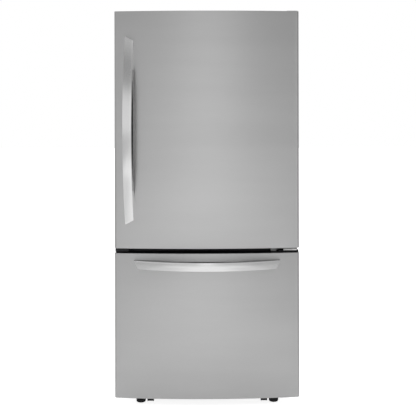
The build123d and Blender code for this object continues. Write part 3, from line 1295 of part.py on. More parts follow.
def nodes():
    """Every node's name and solid."""
    yield "cabinet_shell", cabinet_shell()
    yield "cabinet_back", cabinet_back()
    yield "cabinet_insulation", cabinet_insulation()
    yield "fridge_liner", fridge_liner()
    yield "freezer_liner", freezer_liner()
    yield "centre_rail", centre_rail()
    yield "base_frame", base_frame()
    yield "machine_cover", machine_cover()
    yield "cord_gland", cord_gland()
    yield "compressor", compressor()
    yield "condenser_coil", condenser_coil()
    yield "condenser_fan_motor", condenser_fan_motor()
    yield "condenser_fan_blade", condenser_fan_blade()
    yield "drain_pan", drain_pan()
    for side, name in ((-1, "left"), (1, "right")):
        yield f"front_roller_{name}", front_roller(side * FRONT_ROLLER_X)
        yield f"rear_roller_{name}", rear_roller(side * REAR_ROLLER_X)
        yield f"levelling_foot_{name}", foot(side * FOOT_X)
        yield f"crisper_{name}", crisper(side)
        yield f"humidity_slider_{name}", humidity_slider(side * SLIDER_X)
    yield "top_hinge", top_hinge()
    yield "top_hinge_cover", top_hinge_cover()
    yield "middle_hinge", middle_hinge()
    yield "evaporator", evaporator()
    yield "evaporator_cover", evaporator_cover()
    yield "evaporator_fan_blade", evaporator_fan_blade()
    yield "air_duct", air_duct()
    yield "damper_flap", damper_flap()
    yield "control_panel", control_panel()
    yield "control_button", control_button()
    yield "crisper_cover", crisper_cover()
    yield "lower_shelf", shelf_frame(SHELF_TOPS[0], SHELF_HEIGHT)
    yield "upper_shelf", shelf_frame(SHELF_TOPS[1], SHELF_HEIGHT)
    yield "shelf_glass", Compound([glass_pane(top) for top in (COVER_TOP,) + SHELF_TOPS])
    yield "door_skin", front_skin(DOOR_BOTTOM, DOOR_TOP) - door_stud_holes()
    yield "door_caps", door_caps()
    yield "door_insulation", door_insulation()
    yield "door_liner", door_liner()
    yield "door_gasket", door_gasket()
    yield "door_handle", door_handle()
    yield "door_bin_lower", door_bin(BIN_LOWS[0])
    yield "door_bin_upper", door_bin(BIN_LOWS[1])
    yield "dairy_bin", dairy_bin()
    yield "dairy_cover", dairy_cover()
    yield "drawer_skin", front_skin(DRAWER_BOTTOM, DRAWER_TOP) - drawer_stud_holes()
    yield "drawer_caps", drawer_caps()
    yield "drawer_insulation", drawer_insulation()
    yield "drawer_liner", drawer_liner()
    yield "drawer_gasket", drawer_gasket()
    yield "drawer_handle", drawer_handle()
    yield "drawer_frame", drawer_frame()
    yield "slide_members", pair(slide_member())
    yield "slide_rails", pair(slide_rail())
    yield "stabiliser_bar", stabiliser_bar()
    yield "freezer_basket", freezer_basket()
    yield "freezer_tray", freezer_tray()


os.makedirs("parts", exist_ok=True)
for node, solid in nodes():
    export_step(solid, f"parts/{node}.step")
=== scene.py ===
import logging
from dataclasses import dataclass, field
from enum import Enum
from functools import cached_property
from math import asin, atan2, cos, pi, radians, sin, sqrt, tan
from typing import Iterable, Sequence

import bmesh
import bpy
from mathutils import Matrix, Vector


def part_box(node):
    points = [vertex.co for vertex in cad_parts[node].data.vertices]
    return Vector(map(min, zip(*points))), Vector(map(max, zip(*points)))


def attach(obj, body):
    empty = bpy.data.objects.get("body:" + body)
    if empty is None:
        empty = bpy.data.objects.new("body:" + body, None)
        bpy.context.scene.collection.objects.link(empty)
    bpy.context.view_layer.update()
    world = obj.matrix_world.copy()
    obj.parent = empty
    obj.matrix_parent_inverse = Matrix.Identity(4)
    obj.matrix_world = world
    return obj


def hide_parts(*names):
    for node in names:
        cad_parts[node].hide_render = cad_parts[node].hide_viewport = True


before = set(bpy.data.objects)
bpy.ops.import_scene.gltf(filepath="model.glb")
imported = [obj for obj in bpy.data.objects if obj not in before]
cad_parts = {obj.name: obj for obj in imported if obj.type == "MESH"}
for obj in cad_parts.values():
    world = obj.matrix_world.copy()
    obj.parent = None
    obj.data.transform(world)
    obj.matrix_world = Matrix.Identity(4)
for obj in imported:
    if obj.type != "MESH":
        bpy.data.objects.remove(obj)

log = logging.getLogger("refrigerator")
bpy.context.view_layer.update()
MM = 0.001
CLOSE = 1e-6  # metres between points that count as one
TIGHT = 1e-7  # the same, where a plane cuts or a ring closes
LEVEL = 0.999  # the least cosine of a normal that lies along an axis
FACING = 0.9  # the least cosine of a normal that looks along an axis
NEARLY_HALF = 0.49  # the largest share of a box's least side that its edges' radius takes
Triple = Sequence[float]
Span = tuple[float, float]
Profile = tuple[Span, ...]
Socket = bpy.types.NodeSocket
Outline = list[bmesh.types.BMVert | bmesh.types.BMEdge]


class Side(Enum):
    """The two sides of the object, seen from the front."""

    LEFT = "left"
    RIGHT = "right"


class End(Enum):
    """The two ends of the object."""

    FRONT = "front"
    REAR = "rear"


class Axis(Enum):
    """The three directions of the frame."""

    X = 0
    Y = 1
    Z = 2

    @property
    def vector(self) -> Vector:
        """The unit vector along this axis."""
        return Vector([float(i == self.value) for i in range(3)])


# ---------------------------------------------------------------- finishes
class Nodes:
    """A node tree, with short calls for the nodes that the finishes share."""

    def __init__(self, tree: bpy.types.NodeTree) -> None:
        """Empties a tree.

        Args:
            tree: a material's or the world's node tree.
        """
        self.tree = tree
        self.tree.nodes.clear()
        self.material: bpy.types.Material | None = None
        self.shader: bpy.types.Node | None = None
        self.output: bpy.types.Node | None = None

    @classmethod
    def material_of(cls, name: str) -> "Nodes":
        """Makes a material whose tree holds a Principled shader.

        Args:
            name: the material's name.

        Returns:
            The nodes of the material.
        """
        material = bpy.data.materials.new(name + "_finish")
        material.use_nodes = True
        made = cls(material.node_tree)
        made.material = material
        made.output = made.add("OutputMaterial")
        made.shader = made.add("BsdfPrincipled")
        made.feed(made.output.inputs["Surface"], made.shader.outputs["BSDF"])
        return made

    def add(self, kind: str, **inputs: object) -> bpy.types.Node:
        """Adds a node and fills its inputs.

        Args:
            kind: the node's type after "ShaderNode".
            inputs: input name, with spaces as underscores, to a value or an output socket.

        Returns:
            The new node.
        """
        node = self.tree.nodes.new("ShaderNode" + kind)
        for name, value in inputs.items():
            self.feed(node.inputs[name.replace("_", " ")], value)
        return node

    def feed(self, socket: Socket, value: object) -> None:
        """Links an output to a socket, or sets the socket's own value.

        Args:
            socket: the input to fill.
            value: the output socket, number or colour that fills it.
        """
        if isinstance(value, Socket):
            self.tree.links.new(value, socket)
        else:
            socket.default_value = value

    def set(self, **inputs: object) -> None:
        """Fills the Principled shader's inputs."""
        for name, value in inputs.items():
            self.feed(self.shader.inputs[name.replace("_", " ")], value)

    def work(self, kind: str, operation: str, *values: object) -> bpy.types.Node:
        """Adds a node that does an operation.

        Args:
            kind: "Math" or "VectorMath".
            operation: the node's operation.
            values: its first inputs, as values or output sockets.

        Returns:
            The new node.
        """
        node = self.add(kind)
        node.operation = operation
        for socket, value in zip(node.inputs, values):
            self.feed(socket, value)
        return node

    def math(self, operation: str, *values: object) -> Socket:
        """A math node's result, from numbers or output sockets."""
        return self.work("Math", operation, *values).outputs["Value"]

    def curve(self, value: Socket, points: Sequence[Span]) -> Socket:
        """Carries a value through straight stretches between points, by a ramp of greys.

        Args:
            value: the input, from 0 to 1.
            points: pairs of input and output.

        Returns:
            The output.
        """
        node = self.add("ValToRGB", Fac=value)
        ramp = node.color_ramp
        while len(ramp.elements) < len(points):
            ramp.elements.new(1.0)
        for element, (place, tone) in zip(ramp.elements, points):
            element.position = place
            element.color = (tone, tone, tone, 1.0)
        return node.outputs["Color"]

    def join(self, node: bpy.types.Node, first: bpy.types.Node, second: bpy.types.Node) -> None:
        """Feeds two shaders to a mixing or adding node.

        Args:
            node: the mixing or adding node.
            first: the node of the shader at 0.
            second: the node of the shader at 1.
        """
        sockets = [socket for socket in node.inputs if socket.type == "SHADER"]
        self.feed(sockets[0], first.outputs[0])
        self.feed(sockets[1], second.outputs[0])

    def place(self, scale: Triple) -> Socket:
        """The object's own coordinates in metres, multiplied by a scale.

        Args:
            scale: repeats per metre along X, Y and Z.

        Returns:
            The mapped vector.
        """
        source = self.add("TexCoord")
        mapping = self.add("Mapping", Vector=source.outputs["Object"], Scale=tuple(scale))
        return mapping.outputs["Vector"]

    def cells(self, scale: float) -> bpy.types.Node:
        """A cell texture."""
        return self.add("TexVoronoi", Vector=self.place([scale] * 3), Scale=1.0)

    def noise(
        self, scale: float | Triple, detail: float = 3.0, roughness: float = 0.55,
    ) -> Socket:
        """A grey noise from 0 to 1.

        Args:
            scale: repeats per metre, the same every way or along X, Y and Z.
            detail: the noise's octaves.
            roughness: how strong the fine octaves are.

        Returns:
            The noise.
        """
        vector = self.place([scale] * 3 if isinstance(scale, float) else scale)
        node = self.add("TexNoise", Vector=vector, Scale=1.0, Detail=detail, Roughness=roughness)
        return node.outputs["Fac"]

    def span(
        self, value: Socket, low: object, high: object, start: float = 0.3, end: float = 0.7,
    ) -> Socket:
        """Carries a grey value from one span to another."""
        node = self.add("MapRange", Value=value, From_Min=start, From_Max=end, To_Min=low, To_Max=high)
        return node.outputs["Result"]

    def around(
        self, value: Socket, middle: float, spread: float, start: float = 0.3, end: float = 0.7,
    ) -> Socket:
        """Carries a grey value to a span round a middle number."""
        return self.span(value, middle - spread, middle + spread, start, end)

    def tones(
        self, value: Socket, dark: Triple, light: Triple,
    ) -> Socket:
        """A colour between two others.

        Args:
            value: the grey value that chooses between them.
            dark: the colour at 0.
            light: the colour at 1.

        Returns:
            The colour.
        """
        node = self.add("Mix")
        node.data_type = "RGBA"
        self.feed(node.inputs["Factor"], value)
        sockets = [socket for socket in node.inputs if socket.type == "RGBA"]
        for socket, colour in zip(sockets, (dark, light)):
            self.feed(socket, (*colour, 1.0))
        return next(socket for socket in node.outputs if socket.type == "RGBA")

    def shaded(
        self, value: Socket, colour: Triple, variation: float,
    ) -> Socket:
        """A colour that varies with a noise."""
        return self.tones(self.span(value, 0.0, 1.0), *shades(colour, variation))

    def bump(self, height: Socket, depth: float, strength: float = 1.0) -> None:
        """Raises the shader's surface by a grey height."""
        node = self.add("Bump", Height=height, Distance=depth, Strength=strength)
        self.set(Normal=node.outputs["Normal"])


def grey(value: float) -> Triple:
    """A grey in linear light."""
    return (value, value, value)


def shades(colour: Triple, variation: float) -> tuple[tuple[float, ...], tuple[float, ...]]:
    """A colour's dark shade and light shade."""
    dark = tuple(part * (1 - variation) for part in colour)
    return dark, tuple(min(1.0, part * (1 + variation)) for part in colour)


@dataclass(frozen=True)
class Surface:
    """A procedural finish, which each kind of surface colours in its own way."""

    name: str

    def build(self) -> bpy.types.Material:
        """Makes the material, with the surface's height as its relief.

        Returns:
            The material.
        """
        nodes = Nodes.material_of(self.name)
        nodes.bump(self.dress(nodes), self.depth, self.relief)
        return nodes.material

    def dress(self, nodes: Nodes) -> Socket:
        """Fills the shader's inputs and gives the surface's height."""
        raise NotImplementedError


@dataclass(frozen=True)
class BrushedSteel(Surface):
    """Stainless sheet with a fine grain along one axis."""

    tone: float
    contrast: float = 0.05
    roughness: float = 0.34
    grain: Axis = Axis.Z
    fineness: float = 900.0
    anisotropy: float = 0.0
    turn: float = 0.25
    streak: float = 6.0
    patch: Span = (9.0, 1.2)
    patch_share: float = 0.3
    spread: float = 0.03
    depth: float = 0.02 * MM
    relief: float = 0.25
    upward: Triple = (0.03, 0.02, 1.0)

    def scale(self, across: float, along: float) -> tuple[float, ...]:
        """A noise scale that is stretched along the grain.

        Args:
            across: repeats per metre across the grain.
            along: repeats per metre along the grain.

        Returns:
            Repeats per metre along X, Y and Z.
        """
        values = [across, across, across]
        values[self.grain.value] = along
        return tuple(values)

    def dress(self, nodes: Nodes) -> Socket:
        """Fills the shader's inputs.

        Args:
            nodes: the material's nodes.

        Returns:
            The surface's height.
        """
        streaks = nodes.noise(self.scale(self.fineness, self.streak), detail=4.0, roughness=0.7)
        patches = nodes.span(nodes.noise(self.scale(*self.patch), detail=2.0), 0.0, self.patch_share)
        mixed = nodes.math("MULTIPLY_ADD", streaks, 1 - self.patch_share, patches)
        nodes.set(
            Base_Color=nodes.shaded(mixed, grey(self.tone), self.contrast),
            Metallic=1.0,
            Roughness=nodes.around(streaks, self.roughness, self.spread),
            Anisotropic=self.anisotropy,
        )
        if self.anisotropy:
            self.brush(nodes)
        return streaks

    def brush(self, nodes: Nodes) -> None:
        """Spreads reflections across the grain, which runs level round the surface.

        Args:
            nodes: the material's nodes.
        """
        normal = nodes.add("NewGeometry").outputs["Normal"]
        level = nodes.work("VectorMath", "CROSS_PRODUCT", normal, self.upward)
        nodes.set(Tangent=level.outputs[0], Anisotropic_Rotation=self.turn)


@dataclass(frozen=True)
class PaintedSheet(Surface):
    """Painted steel with the fine pebbled texture of appliance sides."""

    colour: Triple
    roughness: float = 0.42
    pebble: float = 420.0
    depth: float = 0.06 * MM
    metallic: float = 0.0
    patch: float = 3.0
    variation: float = 0.04
    spread: float = 0.06
    relief: float = 0.6

    def dress(self, nodes: Nodes) -> Socket:
        """Fills the shader's inputs.

        Args:
            nodes: the material's nodes.

        Returns:
            The surface's height.
        """
        pebbles = nodes.cells(self.pebble)
        pebbles.feature = "SMOOTH_F1"
        height = pebbles.outputs["Distance"]
        nodes.set(
            Base_Color=nodes.shaded(nodes.noise(self.patch, detail=2.0), self.colour, self.variation),
            Metallic=self.metallic,
            Roughness=nodes.around(height, self.roughness, self.spread, 0.1, 0.8),
        )
        return height


@dataclass(frozen=True)
class Galvanised(Surface):
    """Zinc plated steel with a faint spangle."""

    tone: float = 0.50
    roughness: float = 0.38
    spangle: float = 110.0
    shade: Span = (0.90, 1.08)
    spread: Span = (-0.06, 0.08)
    frost: float = 700.0
    depth: float = 0.01 * MM
    relief: float = 0.4

    def dress(self, nodes: Nodes) -> Socket:
        """Fills the shader's inputs.

        Args:
            nodes: the material's nodes.

        Returns:
            The surface's height.
        """
        sparkle = nodes.add("SeparateColor", Color=nodes.cells(self.spangle).outputs["Color"]).outputs[0]
        dark, light = (grey(self.tone * share) for share in self.shade)
        smooth, rough = (self.roughness + step for step in self.spread)
        nodes.set(
            Base_Color=nodes.tones(sparkle, dark, light), Metallic=1.0,
            Roughness=nodes.span(sparkle, smooth, rough, 0.0, 1.0),
        )
        return nodes.noise(self.frost)


@dataclass(frozen=True)
class Moulded(Surface):
    """Injection moulded or thermoformed plastic."""

    colour: Triple
    roughness: float = 0.35
    texture: float = 900.0
    depth: float = 0.02 * MM
    coat: float = 0.0
    variation: float = 0.03
    patch: float = 6.0
    spread: float = 0.04
    relief: float = 0.5

    def dress(self, nodes: Nodes) -> Socket:
        """Fills the shader's inputs.

        Args:
            nodes: the material's nodes.

        Returns:
            The surface's height.
        """
        broad = nodes.noise(self.patch)
        nodes.set(
            Base_Color=nodes.shaded(broad, self.colour, self.variation),
            Roughness=nodes.around(broad, self.roughness, self.spread),
            Coat_Weight=self.coat,
        )
        return nodes.noise(self.texture, detail=2.0)


@dataclass(frozen=True)
class Clear(Surface):
    """Clear plastic or glass."""

    colour: Triple
    roughness: float = 0.06
    ior: float = 1.49
    transmission: float = 0.92
    alpha: float = 1.0
    flow: float = 14.0
    shade: float = 0.97
    polish: Span = (0.7, 1.4)
    depth: float = 0.05 * MM
    relief: float = 0.2

    def dress(self, nodes: Nodes) -> Socket:
        """Fills the shader's inputs.

        Args:
            nodes: the material's nodes.

        Returns:
            The surface's height.
        """
        flow = nodes.noise(self.flow, detail=2.0)
        dark = tuple(part * self.shade for part in self.colour)
        nodes.set(
            Base_Color=nodes.tones(nodes.span(flow, 0.0, 1.0), dark, self.colour),
            Roughness=nodes.span(flow, *(self.roughness * share for share in self.polish)),
            IOR=self.ior,
            Transmission_Weight=self.transmission,
            Alpha=self.alpha,
        )
        return flow


@dataclass(frozen=True)
class CellFoam(Surface):
    """Rigid insulating foam."""

    colour: Triple
    cell: float = 260.0
    shade: float = 0.82
    roughness: float = 0.9
    depth: float = 0.4 * MM
    relief: float = 0.6

    def dress(self, nodes: Nodes) -> Socket:
        """Fills the shader's inputs.

        Args:
            nodes: the material's nodes.

        Returns:
            The surface's height.
        """
        height = nodes.cells(self.cell).outputs["Distance"]
        dark = tuple(part * self.shade for part in self.colour)
        nodes.set(Base_Color=nodes.tones(height, dark, self.colour), Roughness=self.roughness)
        return height


class Finish(Enum):
    """Every finish on the object."""

    STAINLESS = BrushedSteel(
        "brushed_stainless", 0.655, contrast=0.03, roughness=0.36, grain=Axis.X, anisotropy=0.85,
    )
    HANDLE = BrushedSteel("satin_handle_steel", 0.89, contrast=0.03, roughness=0.17, fineness=1500.0)
    # Darker and mid copies of the handle steel for the bar's sideways faces: painted shade, dark in the
    # middle and fading towards the ends.
    HANDLE_SIDE_SHADE = BrushedSteel("satin_handle_side_shade", 0.3, contrast=0.04, roughness=0.26, fineness=1500.0)
    HANDLE_SHADE_FADE = BrushedSteel("satin_handle_shade_fade", 0.5, contrast=0.04, roughness=0.26, fineness=1500.0)
    DRAWER_HANDLE = BrushedSteel(
        "satin_handle_steel_level", 0.85, contrast=0.03, roughness=0.17, grain=Axis.X, fineness=1500.0,
    )
    # A darker copy of the level handle's steel for its sideways faces: painted shade.
    DRAWER_SIDE_SHADE = BrushedSteel(
        "satin_level_side_shade", 0.34, contrast=0.04, roughness=0.26, grain=Axis.X, fineness=1500.0,
    )
    # Pale plastic on the bar's back, so that the door reflects it bright beside the handle: painted
    # reflection.
    HANDLE_BACK_REFLECTION = Moulded("handle_back_painted_reflection", (0.84, 0.84, 0.84), roughness=0.4)
    TRIM = BrushedSteel("satin_trim", 0.62, contrast=0.04, roughness=0.3, grain=Axis.X, fineness=1500.0)
    FINS = BrushedSteel("fin_aluminium", 0.76, contrast=0.06, roughness=0.35, fineness=400.0)
    CABINET = PaintedSheet("cabinet_paint", (0.120, 0.122, 0.125))
    PANEL = PaintedSheet("back_panel_paint", (0.34, 0.345, 0.35), roughness=0.5, pebble=200.0)
    BLACK_PAINT = PaintedSheet("black_paint", (0.012, 0.012, 0.013), roughness=0.35, pebble=300.0)
    COPPER = PaintedSheet("copper_tube", (0.72, 0.34, 0.18), roughness=0.28, pebble=150.0, metallic=1.0)
    ZINC = Galvanised("zinc_plate")
    BRIGHT = Galvanised("bright_zinc", 0.66, 0.28)
    HINGE_ZINC = Galvanised("hinge_zinc", 0.30, 0.42)
    # Pale plastic for the strip on the hinge plate's edge: painted highlight.
    HINGE_HIGHLIGHT = Moulded("hinge_highlight_plastic", (0.90, 0.90, 0.89), roughness=0.5, variation=0.01)
    LINER = Moulded("liner_plastic", (0.80, 0.81, 0.812), roughness=0.34, coat=0.1, variation=0.006)
    WHITE = Moulded("white_plastic", (0.78, 0.785, 0.785), roughness=0.38, variation=0.01)
    DARK = Moulded("dark_plastic", (0.022, 0.022, 0.024), roughness=0.48, depth=0.05 * MM)
    CAPS = Moulded("end_cap_plastic", (0.016, 0.016, 0.018), roughness=0.55, depth=0.04 * MM)
    GREY_PLASTIC = Moulded("grey_plastic", (0.17, 0.172, 0.176), roughness=0.45)
    HINGE_COVER = Moulded("hinge_cover_plastic", (0.62, 0.622, 0.625), roughness=0.42)
    RUBBER = Moulded("gasket_rubber", (0.020, 0.020, 0.022), roughness=0.62, texture=500.0, depth=0.04 * MM)
    FOOT = Moulded("foot_plastic", (0.030, 0.030, 0.032), roughness=0.5, depth=0.05 * MM)
    WHEEL = Moulded("roller_plastic", (0.075, 0.075, 0.078), roughness=0.42, depth=0.04 * MM)
    LENS = Moulded("lamp_lens", (0.86, 0.87, 0.86), roughness=0.18, coat=0.4)
    CLEAR = Clear("clear_plastic", (0.93, 0.955, 0.965), roughness=0.12, transmission=0.6, alpha=0.42)
    GLASS = Clear("shelf_glass", (0.90, 0.96, 0.94), roughness=0.02, ior=1.52, transmission=0.8, alpha=0.5)
    FOAM = CellFoam("wall_foam", (0.83, 0.74, 0.50))

    @cached_property
    def material(self) -> bpy.types.Material:
        """The finish's material, made on first use."""
        return self.value.build()


# ---------------------------------------------------------------- shapes
def linked(name: str, data: bpy.types.ID) -> bpy.types.Object:
    """Puts a new object into the scene.

    Args:
        name: its name.
        data: its mesh, lamp or camera.

    Returns:
        The object.
    """
    made = bpy.data.objects.new(name, data)
    bpy.context.scene.collection.objects.link(made)
    return made


@dataclass
class Shape:
    """A mesh under construction, in metres, at its place in the frame."""

    bm: bmesh.types.BMesh = field(default_factory=bmesh.new)

    def box(self, low: Triple, high: Triple, bevel: float = 0.0, segments: int = 2) -> "Shape":
        """Adds a box between two corners, with rounded edges.

        Args:
            low: the lowest corner.
            high: the highest corner.
            bevel: the edges' radius.
            segments: faces across each rounded edge.

        Returns:
            This shape.
        """
        size = Vector(high) - Vector(low)
        place = Matrix.Translation((Vector(high) + Vector(low)) / 2) @ Matrix.Diagonal((*size, 1.0))
        made = bmesh.ops.create_cube(self.bm, size=1.0, matrix=place)["verts"]
        if bevel > 0.0:
            edges = list({edge for vert in made for edge in vert.link_edges})
            self.round_edges(edges, min(bevel, min(size) * NEARLY_HALF), segments)
        return self

    def round_edges(self, edges: Iterable[bmesh.types.BMEdge], radius: float, segments: int = 2) -> "Shape":
        """Bevels some edges.

        Args:
            edges: the edges.
            radius: their radius.
            segments: faces across each rounded edge.

        Returns:
            This shape.
        """
        bmesh.ops.bevel(
            self.bm, geom=list(edges), offset=radius, offset_type="OFFSET", segments=segments, profile=0.5,
            affect="EDGES", clamp_overlap=True, material=-1,
        )
        return self

    def rod(self, start: Triple, end: Triple, radius: float, sides: int) -> "Shape":
        """Adds a round rod between two points.

        Args:
            start: the middle of one end.
            end: the middle of the other end.
            radius: the rod's radius.
            sides: flats round the rod.

        Returns:
            This shape.
        """
        along = Vector(end) - Vector(start)
        turn = along.to_track_quat("Z", "Y").to_matrix().to_4x4()
        place = Matrix.Translation((Vector(start) + Vector(end)) / 2) @ turn
        bmesh.ops.create_cone(
            self.bm, cap_ends=True, segments=sides, radius1=radius, radius2=radius, depth=along.length,
            matrix=place,
        )
        return self

    def prism(self, outline: Sequence[Triple], along: Triple) -> "Shape":
        """Adds an outline's face and extrudes it.

        Args:
            outline: the face's corners, in order.
            along: the vector from the face to its copy.

        Returns:
            This shape.
        """
        face = self.bm.faces.new([self.bm.verts.new(point) for point in outline])
        made = bmesh.ops.extrude_face_region(self.bm, geom=[face], use_keep_orig=True)["geom"]
        moved = [item for item in made if isinstance(item, bmesh.types.BMVert)]
        bmesh.ops.translate(self.bm, verts=moved, vec=Vector(along))
        return self.outward()

    def lathe(self, profile: Iterable[Span], origin: Triple, axis: Triple, steps: int = 48) -> "Shape":
        """Spins a profile of (radius, height) points round an axis.

        Args:
            profile: radius and height of each point, from one end to the other.
            origin: the point of height zero on the axis.
            axis: the direction of height.
            steps: faces round the shape.

        Returns:
            This shape.
        """
        up = Vector(axis).normalized()
        out = up.orthogonal().normalized()
        points = [Vector(origin) + out * radius + up * height for radius, height in profile]
        verts = [self.bm.verts.new(point) for point in points]
        edges = [self.bm.edges.new(pair) for pair in zip(verts, verts[1:])]
        self.spin(verts + edges, origin, up, steps)
        bmesh.ops.remove_doubles(self.bm, verts=self.bm.verts[:], dist=CLOSE)
        return self

    def spin(self, geom: Outline, centre: Triple, axis: Vector, steps: int, angle: float = 2 * pi) -> None:
        """Spins an outline round an axis, and joins the ends of a full turn."""
        full = angle == 2 * pi
        bmesh.ops.spin(self.bm, geom=geom, cent=centre, axis=axis, angle=angle, steps=steps, use_merge=full)

    def circle(self, place: Matrix, radius: float, sides: int) -> Outline:
        """Adds a circle's outline at the place that a matrix gives."""
        verts = bmesh.ops.create_circle(self.bm, segments=sides, radius=radius, matrix=place)["verts"]
        return verts + list({edge for vert in verts for edge in vert.link_edges})

    def window(self, low: Triple, high: Triple, border: float, bevel: float = 0.0) -> "Shape":
        """Adds an upright frame with an opening through it along Y.

        Args:
            low: the frame's lowest corner.
            high: the frame's highest corner.
            border: the width of the frame's four members.
            bevel: the outer edges' radius.

        Returns:
            This shape.
        """
        before = set(self.bm.faces)
        self.box(low, high, bevel, 1)
        flats = [face for face in set(self.bm.faces) - before if abs(face.normal.y) > LEVEL]
        flats.sort(key=lambda face: face.calc_center_median().y)
        bmesh.ops.inset_individual(self.bm, faces=flats, thickness=border, use_even_offset=True)
        rings = [edge for face in flats for edge in face.edges]
        bmesh.ops.delete(self.bm, geom=flats, context="FACES_ONLY")
        bmesh.ops.bridge_loops(self.bm, edges=rings)
        return self

    def ring(
        self, centre: Triple, axis: Triple, radius: float, wire: float, sides: int = 8, steps: int = 48,
    ) -> "Shape":
        """Adds a round ring of round wire.

        Args:
            centre: the ring's middle.
            axis: the direction that the ring goes round.
            radius: the radius of the wire's middle line.
            wire: the wire's radius.
            sides: flats round the wire.
            steps: flats round the ring.

        Returns:
            This shape.
        """
        up = Vector(axis).normalized()
        out = up.orthogonal().normalized()
        turn = Matrix((out, up, out.cross(up))).transposed().to_4x4()
        place = Matrix.Translation(Vector(centre) + out * radius) @ turn
        before = set(self.bm.verts)
        self.spin(self.circle(place, wire, sides), centre, up, steps)
        new = [vert for vert in self.bm.verts if vert not in before]
        bmesh.ops.remove_doubles(self.bm, verts=new, dist=TIGHT)
        touched = {face for vert in new if vert.is_valid for face in vert.link_faces}
        bmesh.ops.recalc_face_normals(self.bm, faces=list(touched))
        return self

    def pipe(
        self, points: Sequence[Triple], radius: float, bend: float, sides: int = 16, steps: int = 8,
    ) -> "Shape":
        """Adds a round pipe with straight runs and round elbows.

        Args:
            points: the pipe's ends and the corners between its runs.
            radius: the pipe's radius.
            bend: the radius of the elbows' middle line.
            sides: flats round the pipe.
            steps: flats along each elbow.

        Returns:
            This shape.
        """
        path = [Vector(point) for point in points]
        start = path[0]
        for before, corner, after in zip(path, path[1:], path[2:]):
            into, away = (corner - before).normalized(), (after - corner).normalized()
            turn = into.angle(away)
            cut = bend * tan(turn / 2)
            end = corner - into * cut
            self.rod(start, end, radius, sides)
            axis = into.cross(away).normalized()
            centre = end + axis.cross(into) * bend
            place = Matrix.Translation(end) @ into.to_track_quat("Z", "Y").to_matrix().to_4x4()
            self.spin(self.circle(place, radius, sides), centre, axis, steps, turn)
            start = corner + away * cut
        return self.rod(start, path[-1], radius, sides).outward()

    def sharp(self, angle: float) -> list[bmesh.types.BMEdge]:
        """The edges whose faces meet at more than an angle."""
        edges = [edge for edge in self.bm.edges if len(edge.link_faces) == 2]
        return [edge for edge in edges if edge.calc_face_angle(0.0) > radians(angle)]

    def cut(self, place: Triple, normal: Triple, clear_outer: bool = False) -> Outline:
        """Cuts the whole shape along a plane.

        Args:
            place: a point on the plane.
            normal: the plane's normal.
            clear_outer: whether what the normal points at goes away.

        Returns:
            The new vertices and edges on the plane.
        """
        return bmesh.ops.bisect_plane(
            self.bm, geom=self.bm.verts[:] + self.bm.edges[:] + self.bm.faces[:], plane_co=place,
            plane_no=normal, clear_outer=clear_outer, dist=TIGHT,
        )["geom_cut"]

    def outward(self) -> "Shape":
        """Turns every face outward."""
        bmesh.ops.recalc_face_normals(self.bm, faces=self.bm.faces[:])
        return self

    def move(self, matrix: Matrix) -> None:
        """Moves the whole shape by a matrix."""
        bmesh.ops.transform(self.bm, matrix=matrix, verts=self.bm.verts[:])

    def piece(
        self, name: str, body: str, finish: Finish, *replaced: str, smooth: float = 35.0,
        others: Iterable[Finish] = (),
    ) -> bpy.types.Object:
        """Turns the shape into a finished piece that rides on a body.

        Args:
            name: the piece's name.
            body: the CAD body that it moves with.
            finish: its finish.
            replaced: the CAD nodes that it stands for.
            smooth: edges sharper than this many degrees stay sharp.
            others: the finishes of the faces with a material index of 1 and up.

        Returns:
            The piece's object.
        """
        mesh = bpy.data.meshes.new(name)
        self.bm.to_mesh(mesh)
        self.bm.free()
        mesh.shade_smooth()
        mesh.set_sharp_from_angle(angle=radians(smooth))
        for part in (finish, *others):
            mesh.materials.append(part.material)
        made = linked(name, mesh)
        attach(made, body)
        if replaced:
            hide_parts(*replaced)
        log.info("piece %s: %d faces on %s", name, len(mesh.polygons), body)
        return made


def corners(node: str) -> tuple[Vector, Vector]:
    """A CAD node's lowest and highest corners."""
    low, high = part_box(node)
    return Vector(low), Vector(high)


def middle(node: str) -> Vector:
    """The middle of a CAD node's box."""
    low, high = corners(node)
    return (low + high) / 2


def scaled(profile: Iterable[Span], wide: float, tall: float = 1.0) -> list[Span]:
    """A profile whose points are multiplied across and upwards."""
    return [(x * wide, y * tall) for x, y in profile]


def spread(reach: float, spans: int) -> list[float]:
    """Evenly spaced numbers from minus the reach to the reach."""
    return [reach * (2 * i / spans - 1) for i in range(spans + 1)]


def thicken(made: bpy.types.Object, thickness: float) -> None:
    """Gives a shell the thickness of its sheet, inwards."""
    sheet = made.modifiers.new("sheet", "SOLIDIFY")
    sheet.thickness, sheet.offset = thickness, -1.0


